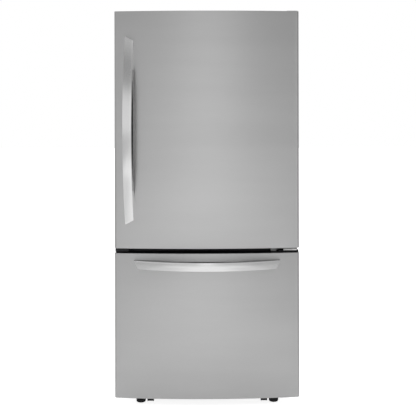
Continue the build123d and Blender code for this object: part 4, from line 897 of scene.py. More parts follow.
# ---------------------------------------------------------------- the fronts
@dataclass
class CrownedFront:
    """A crowned stainless skin of the door or the drawer, with lips over its end caps."""

    node: str
    body: str
    thickness: float = 1.0 * MM
    corner: float = 9.0 * MM
    rim: float = 1.4 * MM
    foot_rim: float = 1.4 * MM
    lip: float = 8.0 * MM
    edge_depth: float = 60.0 * MM
    spans: int = 96

    def __post_init__(self) -> None:
        """Reads the front's place from its CAD node."""
        self.low, self.high = corners(self.node)
        self.half = (self.high.x - self.low.x) / 2
        crown = self.high.y - self.low.y - self.edge_depth
        self.crown_radius = (self.half**2 + crown**2) / (2 * crown)

    def surface(self, x: float) -> float:
        """The y of the outer surface at x."""
        return self.low.y + self.crown_radius - sqrt(self.crown_radius**2 - x * x)

    def outline(self) -> list[Triple]:
        """The plan of the front at its lowest height, from its back left corner round its face."""
        plan = [(x, self.surface(x)) for x in spread(self.half, self.spans)]
        return [(x, y, self.low.z) for x, y in [(-self.half, self.high.y), *plan, (self.half, self.high.y)]]

    def round_rims(self, shape: Shape) -> None:
        """Rounds the front's upright corners, then the rims of both ends.

        Args:
            shape: the crowned prism.
        """
        upright = [
            edge for edge in shape.bm.edges
            if all(abs(abs(vert.co.x) - self.half) < CLOSE for vert in edge.verts)
            and abs(edge.verts[0].co.y - edge.verts[1].co.y) < CLOSE
            and edge.verts[0].co.y < self.high.y - self.edge_depth / 2
        ]
        shape.round_edges(upright, self.corner, segments=8)
        for height, rim in ((self.low.z, self.foot_rim), (self.high.z, self.rim)):
            rims = [
                edge for edge in shape.sharp(60.0)
                if all(abs(vert.co.z - height) < CLOSE for vert in edge.verts)
                and any(vert.co.y < self.high.y - CLOSE for vert in edge.verts)
            ]
            shape.round_edges(rims, rim, 4)

    def build(self) -> None:
        """Builds the skin: a crowned prism with rounded corners and rims, opened at its back and ends."""
        shape = Shape().prism(self.outline(), (0.0, 0.0, self.high.z - self.low.z))
        self.round_rims(shape)
        faces = shape.bm.faces
        ends = [face for face in faces if abs(face.normal.z) > LEVEL and len(face.verts) > self.spans / 2]
        for end in ends:
            rim = self.rim if end.normal.z > 0.0 else self.foot_rim
            bmesh.ops.inset_region(shape.bm, faces=[end], thickness=self.lip - rim, use_even_offset=True)
        central = [face for face in faces if abs(face.calc_center_median().x) < self.half / 2]
        backs = [face for face in central if face.normal.y > LEVEL]
        strips = [
            face for face in central
            if abs(face.normal.z) > LEVEL and len(face.verts) < 8
            and face.calc_center_median().y > self.high.y - self.lip
        ]
        bmesh.ops.delete(shape.bm, geom=list({*ends, *backs, *strips}), context="FACES")
        made = shape.piece(self.node.replace("skin", "front"), self.body, Finish.STAINLESS, self.node)
        thicken(made, self.thickness)


@dataclass
class BarHandle:
    """An arched bar handle with slanted ends, on two blocks that are part of it.

    The reaches of its dark side, which is painted shade, and of the fade to its ends are shares of half its
    length.
    A face is part of the side beyond a share of half the width, and of the back where it looks inwards by
    more than a slope; the back is pale so that the front reflects it bright, a painted reflection.
    """

    node: str
    front: CrownedFront
    finish: Finish
    upright: bool
    width: float = 39.0 * MM
    thickness: float = 16.0 * MM
    reach: float = 74.0 * MM
    end_height: float = 13.0 * MM
    gap: float = 600.0 * MM
    inset: float = 70.0 * MM
    slant: float = 27.0
    edge: float = 3.6 * MM
    side_shade_finish: Finish = Finish.HANDLE_SIDE_SHADE
    side_reach: float = 1.2
    fade_reach: float = 1.3
    side_share: float = 0.9
    back_slope: float = 0.7
    strip_height: float = 1.8 * MM
    strip_sink: float = 0.4 * MM
    strip_end: float = 1.0 * MM
    strip_width: float = 34.0 * MM
    spans: int = 72

    def frame(self) -> Matrix:
        """The matrix from the handle's own frame to its place.

        Returns:
            A matrix that carries X along the handle and Z out from the front.
        """
        front, height = self.front, middle(self.node).z
        if not self.upright:
            turn = Matrix.Rotation(radians(90), 4, "X")
            return Matrix.Translation((0.0, front.surface(0.0), height)) @ turn
        x = self.inset - front.half
        tilt = Matrix.Rotation(asin(x / front.crown_radius), 4, "Z")
        upright = Matrix(((0, -1, 0, 0), (0, 0, -1, 0), (1, 0, 0, 0), (0, 0, 0, 1)))
        return Matrix.Translation((x, front.surface(x), height)) @ tilt @ upright

    def drop(self, along: float) -> float:
        """How far the surface falls back under a level handle."""
        return 0.0 if self.upright else self.front.surface(along) - self.front.surface(0.0)

    def arc(self, reach: float, foot: float, top: float) -> list[Span]:
        """The points of an arc, from end to end.

        Args:
            reach: half the arc's length.
            foot: the height of both ends.
            top: the height of the middle.

        Returns:
            Pairs of place and height.
        """
        rise = top - foot
        radius = (reach**2 + rise**2) / (2 * rise)
        return [(u, top - radius + sqrt(max(radius**2 - u**2, 0.0))) for u in spread(reach, self.spans)]

    def bar(self, half: float) -> Shape:
        """Shapes the bar in its own frame, with slanted ends and soft edges.

        Args:
            half: half the bar's length.

        Returns:
            The bar.
        """
        wide = self.width / 2
        margin = 2 * self.edge
        full, reach = half + margin, self.gap / 2
        foot, heel = -self.drop(full), -self.drop(reach)
        outer = self.arc(full, foot + self.end_height, self.reach)
        inner = self.arc(reach, heel, self.reach - self.thickness)
        profile = [*outer, (full, foot), *reversed(inner), (-full, foot)]
        shape = Shape().prism([(u, -wide, v) for u, v in profile], (0.0, self.width, 0.0))
        for side in (-1, 1):
            normal = (side, -tan(radians(self.slant)), 0.0)
            rim = [
                part for part in shape.cut((side * half, wide, 0.0), normal, clear_outer=True)
                if isinstance(part, bmesh.types.BMEdge)
            ]
            bmesh.ops.contextual_create(shape.bm, geom=rim)
        shape.outward()
        heights = {edge: sorted(vert.co.z for vert in edge.verts) for edge in shape.sharp(40.0)}
        soft = [
            edge for edge, (lowest, highest) in heights.items()
            if lowest > foot + self.edge
            and (highest > heel + margin or abs(edge.verts[0].co.x) > reach + margin)
        ]
        return shape.round_edges(soft, self.edge, 4).outward()

    def build(self) -> None:
        """Builds the bar on its front, with its sides and its back in their own finishes: painted shade on
        the sides, and a pale back that the front reflects bright, a painted reflection.
        """
        low, high = corners(self.node)
        half = (high.z - low.z if self.upright else high.x - low.x) / 2
        shape = self.bar(half)
        for end in (-self.fade_reach, -self.side_reach, self.side_reach, self.fade_reach):
            if abs(end) < 1.0:
                shape.cut((end * half, 0.0, 0.0), Axis.X.vector)
        # Sideways faces take the darker steel in the middle and the mid steel towards the ends: painted
        # shade.
        for face in shape.bm.faces:
            place = face.calc_center_median()
            sideways = abs(face.normal.y) > FACING and abs(place.y) > self.side_share * self.width / 2
            if sideways and abs(place.x) < self.fade_reach * half:
                face.material_index = 1 if abs(place.x) < self.side_reach * half else 3
            # Inward faces at the back take the pale plastic: painted reflection, seen bright in the front.
            elif face.normal.z < -self.back_slope and abs(place.x) < self.gap / 2:
                face.material_index = 2
        others = (self.side_shade_finish, Finish.HANDLE_BACK_REFLECTION, Finish.HANDLE_SHADE_FADE)
        shape.move(self.frame())
        shape.piece(self.node + "_bar", self.front.body, self.finish, self.node, others=others)
        self.shade_strip()

    def shade_strip(self) -> None:
        """Lays a dark strip on the front between the bar's two blocks, painted shade behind the bar; its long
        edges take the bar's steel, a painted light line beside the shade.
        """
        reach, wide = self.gap / 2 + self.strip_end, self.strip_width / 2
        steps = spread(reach, self.spans)
        top = [(u, -wide, self.strip_height - self.drop(u)) for u in steps]
        low = [(u, -wide, -self.strip_sink - self.drop(u)) for u in reversed(steps)]
        shape = Shape().prism(top + low, (0.0, self.strip_width, 0.0))
        rims = [e for e in shape.sharp(60.0) if all(v.co.z > -self.drop(v.co.x) for v in e.verts)]
        shape.round_edges(rims, self.strip_height / 3, 2)
        # The long edges take the bar's finish: a painted light line along the painted shade.
        for face in shape.bm.faces:
            face.material_index = int(abs(face.calc_center_median().y) > wide - self.strip_height / 2)
        shape.move(self.frame())
        shape.piece(self.node + "_backing", self.front.body, Finish.DARK, others=(self.finish,))


# ---------------------------------------------------------------- small parts of the cabinet
@dataclass
class HexScrew:
    """A screw head: a hexagon on a washer, with a dished top.

    The washer's profile holds shares of the washer's radius and thickness.
    """

    radius: float = 4.6 * MM
    washer: float = 1.0 * MM
    head: float = 1.9 * MM
    across: float = 0.68
    dish: float = 0.45 * MM
    profile: Profile = ((0.0, 0.0), (1.0, 0.0), (1.0, 0.6), (0.86, 1.0), (0.0, 1.0))
    sink: float = 0.1
    rings: Span = (0.2, 0.1)

    def add(self, shape: Shape, place: Triple, out: Triple) -> None:
        """Adds a head to a shape.

        Args:
            shape: the shape that gets the head.
            place: the point under the middle of the washer.
            out: the direction in which the head stands out.
        """
        up = Vector(out).normalized()
        start = Vector(place)
        shape.lathe(scaled(self.profile, self.radius, self.washer), start, up, steps=20)
        before = set(shape.bm.faces)
        foot, top = start + up * (1 - self.sink) * self.washer, start + up * (self.washer + self.head)
        shape.rod(foot, top, self.across * self.radius, sides=6)
        tops = [face for face in set(shape.bm.faces) - before if face.normal.dot(up) > FACING]
        for ring, depth in zip(self.rings, (0.0, -self.dish)):
            bmesh.ops.inset_individual(shape.bm, faces=tops, thickness=ring * self.radius, depth=depth)


@dataclass
class LevellingFoot:
    """A screw foot: a notched pad on a threaded stem.

    The bowl's points are shares of the pad's radius and band height; the shoulders are shares of the radius.
    """

    side: Side
    pad_height: float = 18.0 * MM
    band: Span = (9.0 * MM, 15.0 * MM)
    band_sink: float = 0.2 * MM
    bowl: Profile = (
        (0.0, 0.0), (0.68, 0.0), (0.83, 0.08), (0.93, 0.24), (0.985, 0.52), (1.0, 1.0), (0.0, 1.0),
    )
    shoulders: Triple = (0.97, 0.90, 0.45)
    lap: float = 1.0 * MM
    notches: int = 24
    notch: float = 0.9 * MM
    notch_border: float = 0.5 * MM
    stem: float = 5.0 * MM
    collar: float = 1.6 * MM
    thread: float = 0.55 * MM
    pitch: float = 1.6 * MM
    lead: float = 1.4 * MM
    run_out: float = 3.0 * MM
    tip: float = 0.8 * MM
    taper: float = 1.6

    def pad(self, shape: Shape, foot: Vector, radius: float) -> None:
        """Adds the pad: a bowl under a notched band, and its domed top.

        Args:
            shape: the shape that gets the pad.
            foot: the middle of the pad's underside.
            radius: the pad's radius.
        """
        low, high = self.band
        up = Axis.Z.vector
        shape.lathe(scaled(self.bowl, radius, low), foot, up)
        before = set(shape.bm.faces)
        shape.rod(foot + up * (low - self.band_sink), foot + up * high, radius, 2 * self.notches)
        sides = [face for face in shape.bm.faces if face not in before and abs(face.normal.z) < 0.1]
        around = {face: face.calc_center_median() - foot for face in sides}
        sides.sort(key=lambda face: atan2(around[face].y, around[face].x))
        bmesh.ops.inset_individual(shape.bm, faces=sides[::2], thickness=self.notch_border, depth=-self.notch)
        outer, inner, crown = (share * radius for share in self.shoulders)
        start, step, top = high - self.lap, high + self.lap, self.pad_height
        shape.lathe([(0.0, start), (outer, start), (inner, step), (crown, top), (0.0, top)], foot, up)

    def screw(self, shape: Shape, foot: Vector, top: float) -> None:
        """Adds the threaded stem.

        Args:
            shape: the shape that gets the stem.
            foot: the middle of the pad's underside.
            top: the height of the stem's end above it.
        """
        root, collar = self.stem - self.thread, self.stem + self.collar
        low, high = self.pad_height - self.lap, self.pad_height + self.lap
        profile = [(0.0, low), (collar, low), (collar, high)]
        for i in range(int((top - self.pad_height - self.run_out) / self.pitch)):
            height = self.pad_height + self.lead + i * self.pitch
            profile += [(root, height), (self.stem, height + self.pitch / 2)]
        profile += [(root, top - self.tip), (self.stem - self.taper * self.thread, top), (0.0, top)]
        shape.lathe(profile, foot, Axis.Z.vector, steps=32)

    def build(self) -> None:
        """Builds the foot in its CAD node's place."""
        name = self.side.value
        node = f"levelling_foot_{name}"
        low, high = corners(node)
        centre = middle(node)
        foot = Vector((centre.x, centre.y, low.z))
        shape = Shape()
        self.pad(shape, foot, (high.x - low.x) / 2)
        self.screw(shape, foot, high.z - low.z)
        shape.outward().piece(f"{node}_screw", f"foot_{name}", Finish.FOOT, node, smooth=28.0)


@dataclass
class Roller:
    """A roller with a crowned tread between two rims, and a recessed hub."""

    end: End
    side: Side
    rim: float = 1.4 * MM
    rim_width: Span = (2.6 * MM, 3.4 * MM)
    rim_chamfer: float = 0.6
    crown: float = 0.8
    recess: float = 4.0 * MM
    web: float = 0.72
    web_slope: float = 0.06
    hub: float = 5.2 * MM
    bore: float = 2.6 * MM

    def build(self) -> None:
        """Builds the roller in its CAD node's place."""
        name = self.side.value
        node = f"{self.end.value}_roller_{name}"
        low, high = corners(node)
        centre = middle(node)
        radius, wide = (high.z - low.z) / 2, high.x - low.x
        chamfer = self.rim * self.rim_chamfer
        half = [
            (self.bore, 0.0), (self.hub, 0.0), (self.hub, self.recess), (radius * self.web, self.recess),
            (radius * (self.web + self.web_slope), 0.0), (radius - chamfer, 0.0), (radius, chamfer),
            (radius, self.rim_width[0]), (radius - self.rim, self.rim_width[1]),
            (radius - self.rim * self.crown, wide / 2),
        ]
        other = [(r, wide - h) for r, h in reversed(half[:-1])]
        start = (low.x, centre.y, centre.z)
        shape = Shape().lathe([*half, *other, half[0]], start, Axis.X.vector, steps=56)
        shape.outward().piece(f"{node}_wheel", f"{self.end.value}_wheel_{name}", Finish.WHEEL, node)


@dataclass
class HingeCover:
    """The top hinge's cover: a rounded shell with a sloping nose over the door's edge."""

    node: str = "top_hinge_cover"
    wall: float = 0.7 * MM
    nose_drop: float = 3.6 * MM
    nose: float = 42.0 * MM
    heel: float = 14.0 * MM
    clear: float = 1.6 * MM
    radius: float = 2.1 * MM
    skirt: float = 0.5 * MM

    def build(self) -> None:
        """Builds the shell over its CAD node's place."""
        low, high = corners(self.node)
        door_top = corners("door_skin")[1].z + self.clear
        front = corners("cabinet_shell")[0].y + self.clear
        side = [
            (low.y, door_top), (low.y, high.z - self.nose_drop), (low.y + self.nose, high.z),
            (high.y - self.heel, high.z), (high.y, high.z - self.heel), (high.y, low.z), (front, low.z),
            (front, door_top),
        ]
        shape = Shape().prism([(low.x, y, z) for y, z in side], (high.x - low.x, 0.0, 0.0))
        under = [face for face in shape.bm.faces if face.normal.z < -FACING]
        bmesh.ops.delete(shape.bm, geom=under, context="FACES")
        above = door_top + self.skirt
        raised = [edge for edge in shape.sharp(20.0) if max(vert.co.z for vert in edge.verts) > above]
        shape.round_edges(raised, self.radius, 3)
        thicken(shape.piece(self.node + "_shell", "cabinet", Finish.HINGE_COVER, self.node), self.wall)


@dataclass
class GapFittings:
    """The covers at both ends of the gap between door and drawer."""

    inset: float = 1.2 * MM
    blind_size: Span = (62.0 * MM, 54.0 * MM)
    blind_clear: float = 3.4 * MM
    blind_radius: float = 1.6 * MM
    plate_clear: float = 1.8 * MM
    plate: float = 5.6 * MM
    plate_lap: Span = (20.0 * MM, 1.4 * MM)
    plate_radius: float = 1.2 * MM
    edge_heights: Span = (697.4 * MM, 704.2 * MM)
    edge_span: Span = (343.0 * MM, 403.0 * MM)
    edge_lap: Span = (2.4 * MM, 0.6 * MM)
    edge_radius: float = 0.8 * MM

    def blind_cover(self) -> None:
        """Builds the blind cover on the front of the rail, at the left."""
        left = corners("door_skin")[0].x + self.inset
        floor = corners("drawer_skin")[1].z + self.blind_clear
        roof = corners("door_skin")[0].z - self.blind_clear
        back = corners("centre_rail")[0].y
        length, depth = self.blind_size
        shape = Shape().box((left, back - depth, floor), (left + length, back, roof), self.blind_radius, 3)
        shape.piece("hinge_place_cover", "cabinet", Finish.CAPS)

    def plate_cover(self) -> None:
        """Builds the cover round the hinge's plate, at the right, and a pale strip on its front edge, a
        painted highlight of the lit steel edge.
        """
        low, high = corners("middle_hinge")
        right = corners("door_skin")[1].x - self.inset
        floor = corners("drawer_skin")[1].z + self.plate_clear
        aside, ahead = self.plate_lap
        start, end = self.edge_span
        corner = (start - aside, low.y - ahead, floor)
        cover = Shape().box(corner, (right, high.y, floor + self.plate), self.plate_radius, 3)
        cover.piece("hinge_plate_cover", "cabinet", Finish.CAPS)
        # A pale strip on the plate's front edge: painted highlight, bright though it lies in the gap's shade.
        ahead, behind = self.edge_lap
        bottom, top = self.edge_heights
        corner = (start, low.y - ahead, bottom)
        strip = Shape().box(corner, (end, low.y + behind, top), self.edge_radius, 3)
        strip.piece("hinge_plate_highlight", "cabinet", Finish.HINGE_HIGHLIGHT)

    def build(self) -> None:
        """Builds both covers."""
        self.blind_cover()
        self.plate_cover()


@dataclass
class RearFittings:
    """The back: a panel with pressed ribs, and the screws of the machine compartment's cover."""

    border: float = 34.0 * MM
    sheet: float = 0.165 * MM
    lift: float = 0.40 * MM
    rib: float = 16.0 * MM
    overlap: float = 2.8 * MM
    slope: float = 0.9 * MM
    ribs: int = 5
    screw: HexScrew = field(default_factory=lambda: HexScrew(radius=4.4 * MM, washer=0.8 * MM, head=1.6 * MM))
    screw_inset: float = 13.0 * MM

    def raise_face(self, bm: bmesh.types.BMesh, face: bmesh.types.BMFace) -> None:
        """Raises a face of the panel, with a slope round it."""
        bmesh.ops.inset_region(bm, faces=[face], thickness=self.slope)
        bmesh.ops.translate(bm, verts=face.verts[:], vec=(0.0, self.lift, 0.0))

    def panel(self) -> None:
        """Builds the panel: a flange round a raised field with upright ribs."""
        low, high = corners("cabinet_back")
        size = high - low
        centre = Vector((0.0, high.y - 2 * self.lift, middle("cabinet_back").z))
        upright = Matrix.Translation(centre) @ Matrix.Rotation(radians(-90), 4, "X")
        place = upright @ Matrix.Diagonal((size.x + 2 * self.overlap, size.z, 1.0, 1.0))
        bm = bmesh.new()
        bmesh.ops.create_grid(bm, x_segments=1, y_segments=1, size=0.5, matrix=place)
        raised_field = next(iter(bm.faces))
        bmesh.ops.inset_region(bm, faces=[raised_field], thickness=self.border)
        self.raise_face(bm, raised_field)
        level = high.y - 1.2 * self.lift
        wide = size.x - 2 * self.border
        for i in range(self.ribs):
            for edge in (-1, 1):
                x = wide * ((i + 0.5) / self.ribs - 0.5) + edge * self.rib / 2
                inner = [face for face in bm.faces if face.calc_center_median().y > level]
                geom = list({*inner, *(part for face in inner for part in (*face.edges, *face.verts))})
                across = Axis.X.vector
                bmesh.ops.bisect_plane(bm, geom=geom, plane_co=(x, 0.0, 0.0), plane_no=across, dist=TIGHT)
        for face in [face for face in bm.faces if face.calc_center_median().y > level]:
            places = [vert.co.x for vert in face.verts]
            if abs(max(places) - min(places) - self.rib) < 0.1 * MM:
                self.raise_face(bm, face)
        bmesh.ops.recalc_face_normals(bm, faces=bm.faces[:])
        if sum(face.normal.y for face in bm.faces) < 0:
            bmesh.ops.reverse_faces(bm, faces=bm.faces[:])
        made = Shape(bm).piece("back_panel", "cabinet", Finish.PANEL, "cabinet_back", smooth=60.0)
        thicken(made, self.sheet)

    def screws(self) -> None:
        """Builds the screws round the machine compartment's cover."""
        low, high = corners("machine_cover")
        shape = Shape()
        inset = self.screw_inset
        for x in (low.x + inset, low.x / 2, 0.0, high.x / 2, high.x - inset):
            for z in (low.z + inset, high.z - inset):
                self.screw.add(shape, (x, high.y, z), Axis.Y.vector)
        shape.piece("cover_screws", "cabinet", Finish.BRIGHT)

    def build(self) -> None:
        """Builds the panel and the screws."""
        self.panel()
        self.screws()


@dataclass
class Compressor:
    """The compressor: a welded pot on a foot plate, its terminal box, rubber mounts and pipes.

    The shells' points are shares of the pot's radius and height; the mount's radii are shares of its radius.
    """

    node: str = "compressor"
    axis_inset: float = 89.1 * MM
    foot_height: float = 14.0 * MM
    foot_sheet: float = 3.0 * MM
    foot_radius: float = 1.2 * MM
    lower_shell: Profile = ((0.0, 0.0), (0.62, 0.0), (0.86, 0.05), (0.955, 0.16))
    upper_shell: Profile = ((0.93, 0.76), (0.82, 0.90), (0.60, 0.975), (0.0, 1.0))
    seam: float = 0.56
    seam_profile: Profile = (
        (0.96, -3.5 * MM), (0.985, -3.0 * MM), (1.0, 0.0), (0.985, 3.0 * MM), (0.955, 3.5 * MM),
    )
    box_start: float = 50.0 * MM
    box_wide: float = 24.0 * MM
    box_heights: Span = (46.0 * MM, 102.0 * MM)
    box_radius: float = 4.0 * MM
    boss: Span = (3.0 * MM, 5.0 * MM)
    boss_heights: Span = (68.0 * MM, 80.0 * MM)
    boss_radius: float = 1.0 * MM
    mounts: Span = (77.1 * MM, 54.0 * MM)
    mount: float = 12.0 * MM
    mount_profile: Profile = (
        (0.0, 0.0), (1.0, 0.0), (1.0, 3.0 * MM), (0.72, 5.0 * MM), (0.72, 8.0 * MM), (0.95, 10.0 * MM),
    )
    screw: HexScrew = field(default_factory=lambda: HexScrew(radius=6.0 * MM, washer=1.2 * MM, head=3.0 * MM))
    pipe: float = 4.0 * MM
    bend: float = 9.0 * MM
    pipe_aside: float = 33.0 * MM
    pipe_span: Span = (55.0 * MM, 84.0 * MM)
    pipe_height: float = 74.0 * MM
    pipe_rises: Span = (62.0 * MM, 44.0 * MM)

    def __post_init__(self) -> None:
        """Reads the compressor's place from its CAD node."""
        self.low, self.high = corners(self.node)
        self.base = Vector((self.low.x + self.axis_inset, middle(self.node).y, self.low.z + self.foot_height))

    def pot(self) -> None:
        """Builds the pot on its foot plate."""
        radius, tall = (self.high.y - self.low.y) / 2, self.high.z - self.base.z
        lower, upper = (scaled(part, radius, tall) for part in (self.lower_shell, self.upper_shell))
        weld = [(r * radius, self.seam * tall + h) for r, h in self.seam_profile]
        shape = Shape().lathe([*lower, *weld, *upper], self.base, Axis.Z.vector, steps=64)
        corner = (self.low.x + 2 * self.axis_inset, self.high.y, self.base.z + self.foot_sheet)
        shape.box((self.low.x, self.low.y, self.base.z), corner, self.foot_radius)
        shape.piece("compressor_pot", "cabinet", Finish.BLACK_PAINT, self.node)

    def terminal_box(self) -> None:
        """Builds the terminal box with its boss."""
        shape = Shape()
        for start, wide, heights, radius, segments in (
            (self.base.x + self.box_start, self.box_wide, self.box_heights, self.box_radius, 3),
            (self.high.x - self.boss[0], self.boss[1], self.boss_heights, self.boss_radius, 2),
        ):
            low, high = (self.base.z + height for height in heights)
            corner = (self.high.x, self.base.y + wide, high)
            shape.box((start, self.base.y - wide, low), corner, radius, segments)
        shape.piece("compressor_terminal_box", "cabinet", Finish.DARK)

    def rubber(self) -> None:
        """Builds the four rubber mounts with their screws."""
        shape = Shape()
        ends = ((0.95, self.foot_height), (0.0, self.foot_height))
        profile = scaled((*self.mount_profile, *ends), self.mount)
        for side_x in (-1, 1):
            for side_y in (-1, 1):
                x, y = self.base.x + side_x * self.mounts[0], self.base.y + side_y * self.mounts[1]
                shape.lathe(profile, (x, y, self.low.z), Axis.Z.vector, steps=28)
                self.screw.add(shape, (x, y, self.base.z + self.foot_sheet), Axis.Z.vector)
        shape.piece("compressor_mounts", "cabinet", Finish.RUBBER)

    def lines(self) -> None:
        """Builds the two copper lines."""
        shape = Shape()
        start, end = (self.base.x - reach for reach in self.pipe_span)
        height = self.base.z + self.pipe_height
        for side, rise in zip((-1, 1), self.pipe_rises):
            y = self.base.y + side * self.pipe_aside
            shape.pipe([(start, y, height), (end, y, height), (end, y, height + rise)], self.pipe, self.bend)
        shape.piece("compressor_lines", "cabinet", Finish.COPPER)

    def build(self) -> None:
        """Builds the pot with its plate, the box, the mounts and the lines."""
        self.pot()
        self.terminal_box()
        self.rubber()
        self.lines()


# ---------------------------------------------------------------- inside
@dataclass
class Interior:
    """Trims, lens, lights and grilles inside the two compartments."""

    trim: float = 1.6 * MM
    trim_sink: float = 0.4 * MM
    trim_radius: float = 0.8 * MM
    shelf_inset: float = 2.0 * MM
    shelf_drop: float = 1.5 * MM
    bin_inset: float = 14.0 * MM
    bin_drops: Span = (26.0 * MM, 8.0 * MM)
    lens_reach: float = 86.0 * MM
    lens_inset: float = 16.0 * MM
    lens_heights: Span = (-1.4 * MM, 1.0 * MM)
    lens_radius: float = 1.2 * MM
    flutes: int = 9
    flute_pitch: float = 18.0 * MM
    flute: float = 0.8 * MM
    flute_inset: float = 20.0 * MM
    flute_heights: Span = (-1.9 * MM, -1.0 * MM)
    lights: int = 5
    light_start: float = 34.0 * MM
    light_pitch: float = 9.0 * MM
    light_profile: Profile = ((0.0, 0.0), (1.5 * MM, 0.0), (1.2 * MM, 0.5 * MM), (0.0, 0.8 * MM))
    light_sink: float = 0.1 * MM
    grille_heights: tuple[float, ...] = (1073.3 * MM, 1305.3 * MM, 1537.3 * MM)
    grille_aside: float = 33.3 * MM
    grille_half: Span = (28.0 * MM, 7.0 * MM)
    grille_depths: Span = (-1.6 * MM, 0.3 * MM)
    grille_border: float = 3.0 * MM
    grille_radius: float = 0.5 * MM
    vanes: int = 5
    vane_pitch: float = 9.0 * MM
    vane_half: Span = (0.6 * MM, 4.4 * MM)
    vane_depths: Span = (-1.0 * MM, 1.4 * MM)
    vane_radius: float = 0.3 * MM
    guard_clear: float = 1.6 * MM
    guard_reach: float = 5.0 * MM
    guard_wire: float = 1.1 * MM
    guard_rings: tuple[float, ...] = (0.25, 0.5, 0.75, 1.0)
    guard_spokes: int = 6
    spoke_end: float = 3.0 * MM

    def trims(self) -> None:
        """Lays a satin strip along each shelf's front edge and across each door bin's inner face."""
        for node in ("lower_shelf", "upper_shelf", "door_bin_lower", "door_bin_upper"):
            low, high = corners(node)
            if node.endswith("shelf"):
                body, inset = "cabinet", self.shelf_inset
                front, back = low.y - self.trim, low.y + self.trim_sink
                bottom, top = low.z + inset, high.z - self.shelf_drop
            else:
                body, inset = "fridge_door", self.bin_inset
                front, back = high.y - self.trim_sink, high.y + self.trim
                bottom, top = (high.z - drop for drop in self.bin_drops)
            corner = (high.x - inset, back, top)
            strip = Shape().box((low.x + inset, front, bottom), corner, self.trim_radius, 3)
            strip.piece(node + "_trim", body, Finish.TRIM)

    def lamp(self) -> None:
        """Builds the lamp's fluted lens under the control panel."""
        low, high = corners("control_panel")
        lens = Shape()
        strips = [(0.0, self.lens_reach, self.lens_inset, self.lens_heights, self.lens_radius, 3)]
        for i in range(self.flutes):
            x = (i - self.flutes // 2) * self.flute_pitch
            strips.append((x, self.flute, self.flute_inset, self.flute_heights, self.flute / 2, 1))
        for x, half, inset, (bottom, top), radius, segments in strips:
            corner = (x + half, high.y - inset, low.z + top)
            lens.box((x - half, low.y + inset, low.z + bottom), corner, radius, segments)
        lens.piece("lamp_lens", "cabinet", Finish.LENS)

    def panel_lights(self) -> None:
        """Builds the row of lights on the control panel's front."""
        face = corners("control_panel")[0].y + self.light_sink
        height = middle("control_panel").z
        shape = Shape()
        for i in range(self.lights):
            place = (self.light_start + self.light_pitch * i, face, height)
            shape.lathe(self.light_profile, place, -Axis.Y.vector, steps=20)
        shape.piece("panel_lights", "cabinet", Finish.LENS)

    def duct_grilles(self) -> None:
        """Frames the air duct's outlets and sets upright vanes in them."""
        face = corners("air_duct")[0].y
        (wide, tall), (thin, high) = self.grille_half, self.vane_half
        (front, back), (ahead, behind) = self.grille_depths, self.vane_depths
        shape = Shape()
        for z in self.grille_heights:
            for x in (-self.grille_aside, self.grille_aside):
                corner = (x + wide, face + back, z + tall)
                start = (x - wide, face + front, z - tall)
                shape.window(start, corner, self.grille_border, self.grille_radius)
                for i in range(self.vanes):
                    at = x + (i - self.vanes // 2) * self.vane_pitch
                    corner = (at + thin, face + behind, z + high)
                    shape.box((at - thin, face + ahead, z - high), corner, self.vane_radius, 1)
        shape.piece("duct_grilles", "cabinet", Finish.WHITE)

    def fan_guard(self) -> None:
        """Builds the wire guard in front of the evaporator's fan."""
        low, high = corners("evaporator_fan_blade")
        centre = middle("evaporator_fan_blade")
        centre.y = corners("evaporator_cover")[0].y - self.guard_clear
        reach = (high.x - low.x) / 2 + self.guard_reach
        shape = Shape()
        for share in self.guard_rings:
            shape.ring(centre, Axis.Y.vector, reach * share, self.guard_wire)
        for i in range(self.guard_spokes):
            angle = 2 * pi * i / self.guard_spokes
            out = Vector((cos(angle), 0.0, sin(angle)))
            start = centre + out * reach * self.guard_rings[0]
            shape.rod(start, centre + out * (reach + self.spoke_end), self.guard_wire, sides=8)
        shape.piece("fan_guard", "cabinet", Finish.WHITE)

    def build(self) -> None:
        """Builds every part of the inside."""
        self.trims()
        self.lamp()
        self.panel_lights()
        self.duct_grilles()
        self.fan_guard()


# ---------------------------------------------------------------- surroundings
@dataclass(frozen=True)
class Lamp:
    """A soft rectangular lamp."""

    name: str
    place: Triple
    size: Span
    power: float
    target: Triple = (0.0, 0.0, 0.9)

    def build(self) -> None:
        """Adds the lamp, turned to its target."""
        data = bpy.data.lights.new(self.name, "AREA")
        data.shape = "RECTANGLE"
        data.size, data.size_y = self.size
        data.energy = self.power
        made = linked(self.name, data)
        made.location = self.place
        aim = Vector(self.target) - Vector(self.place)
        made.rotation_euler = aim.to_track_quat("-Z", "Y").to_euler()
        made.visible_glossy = False


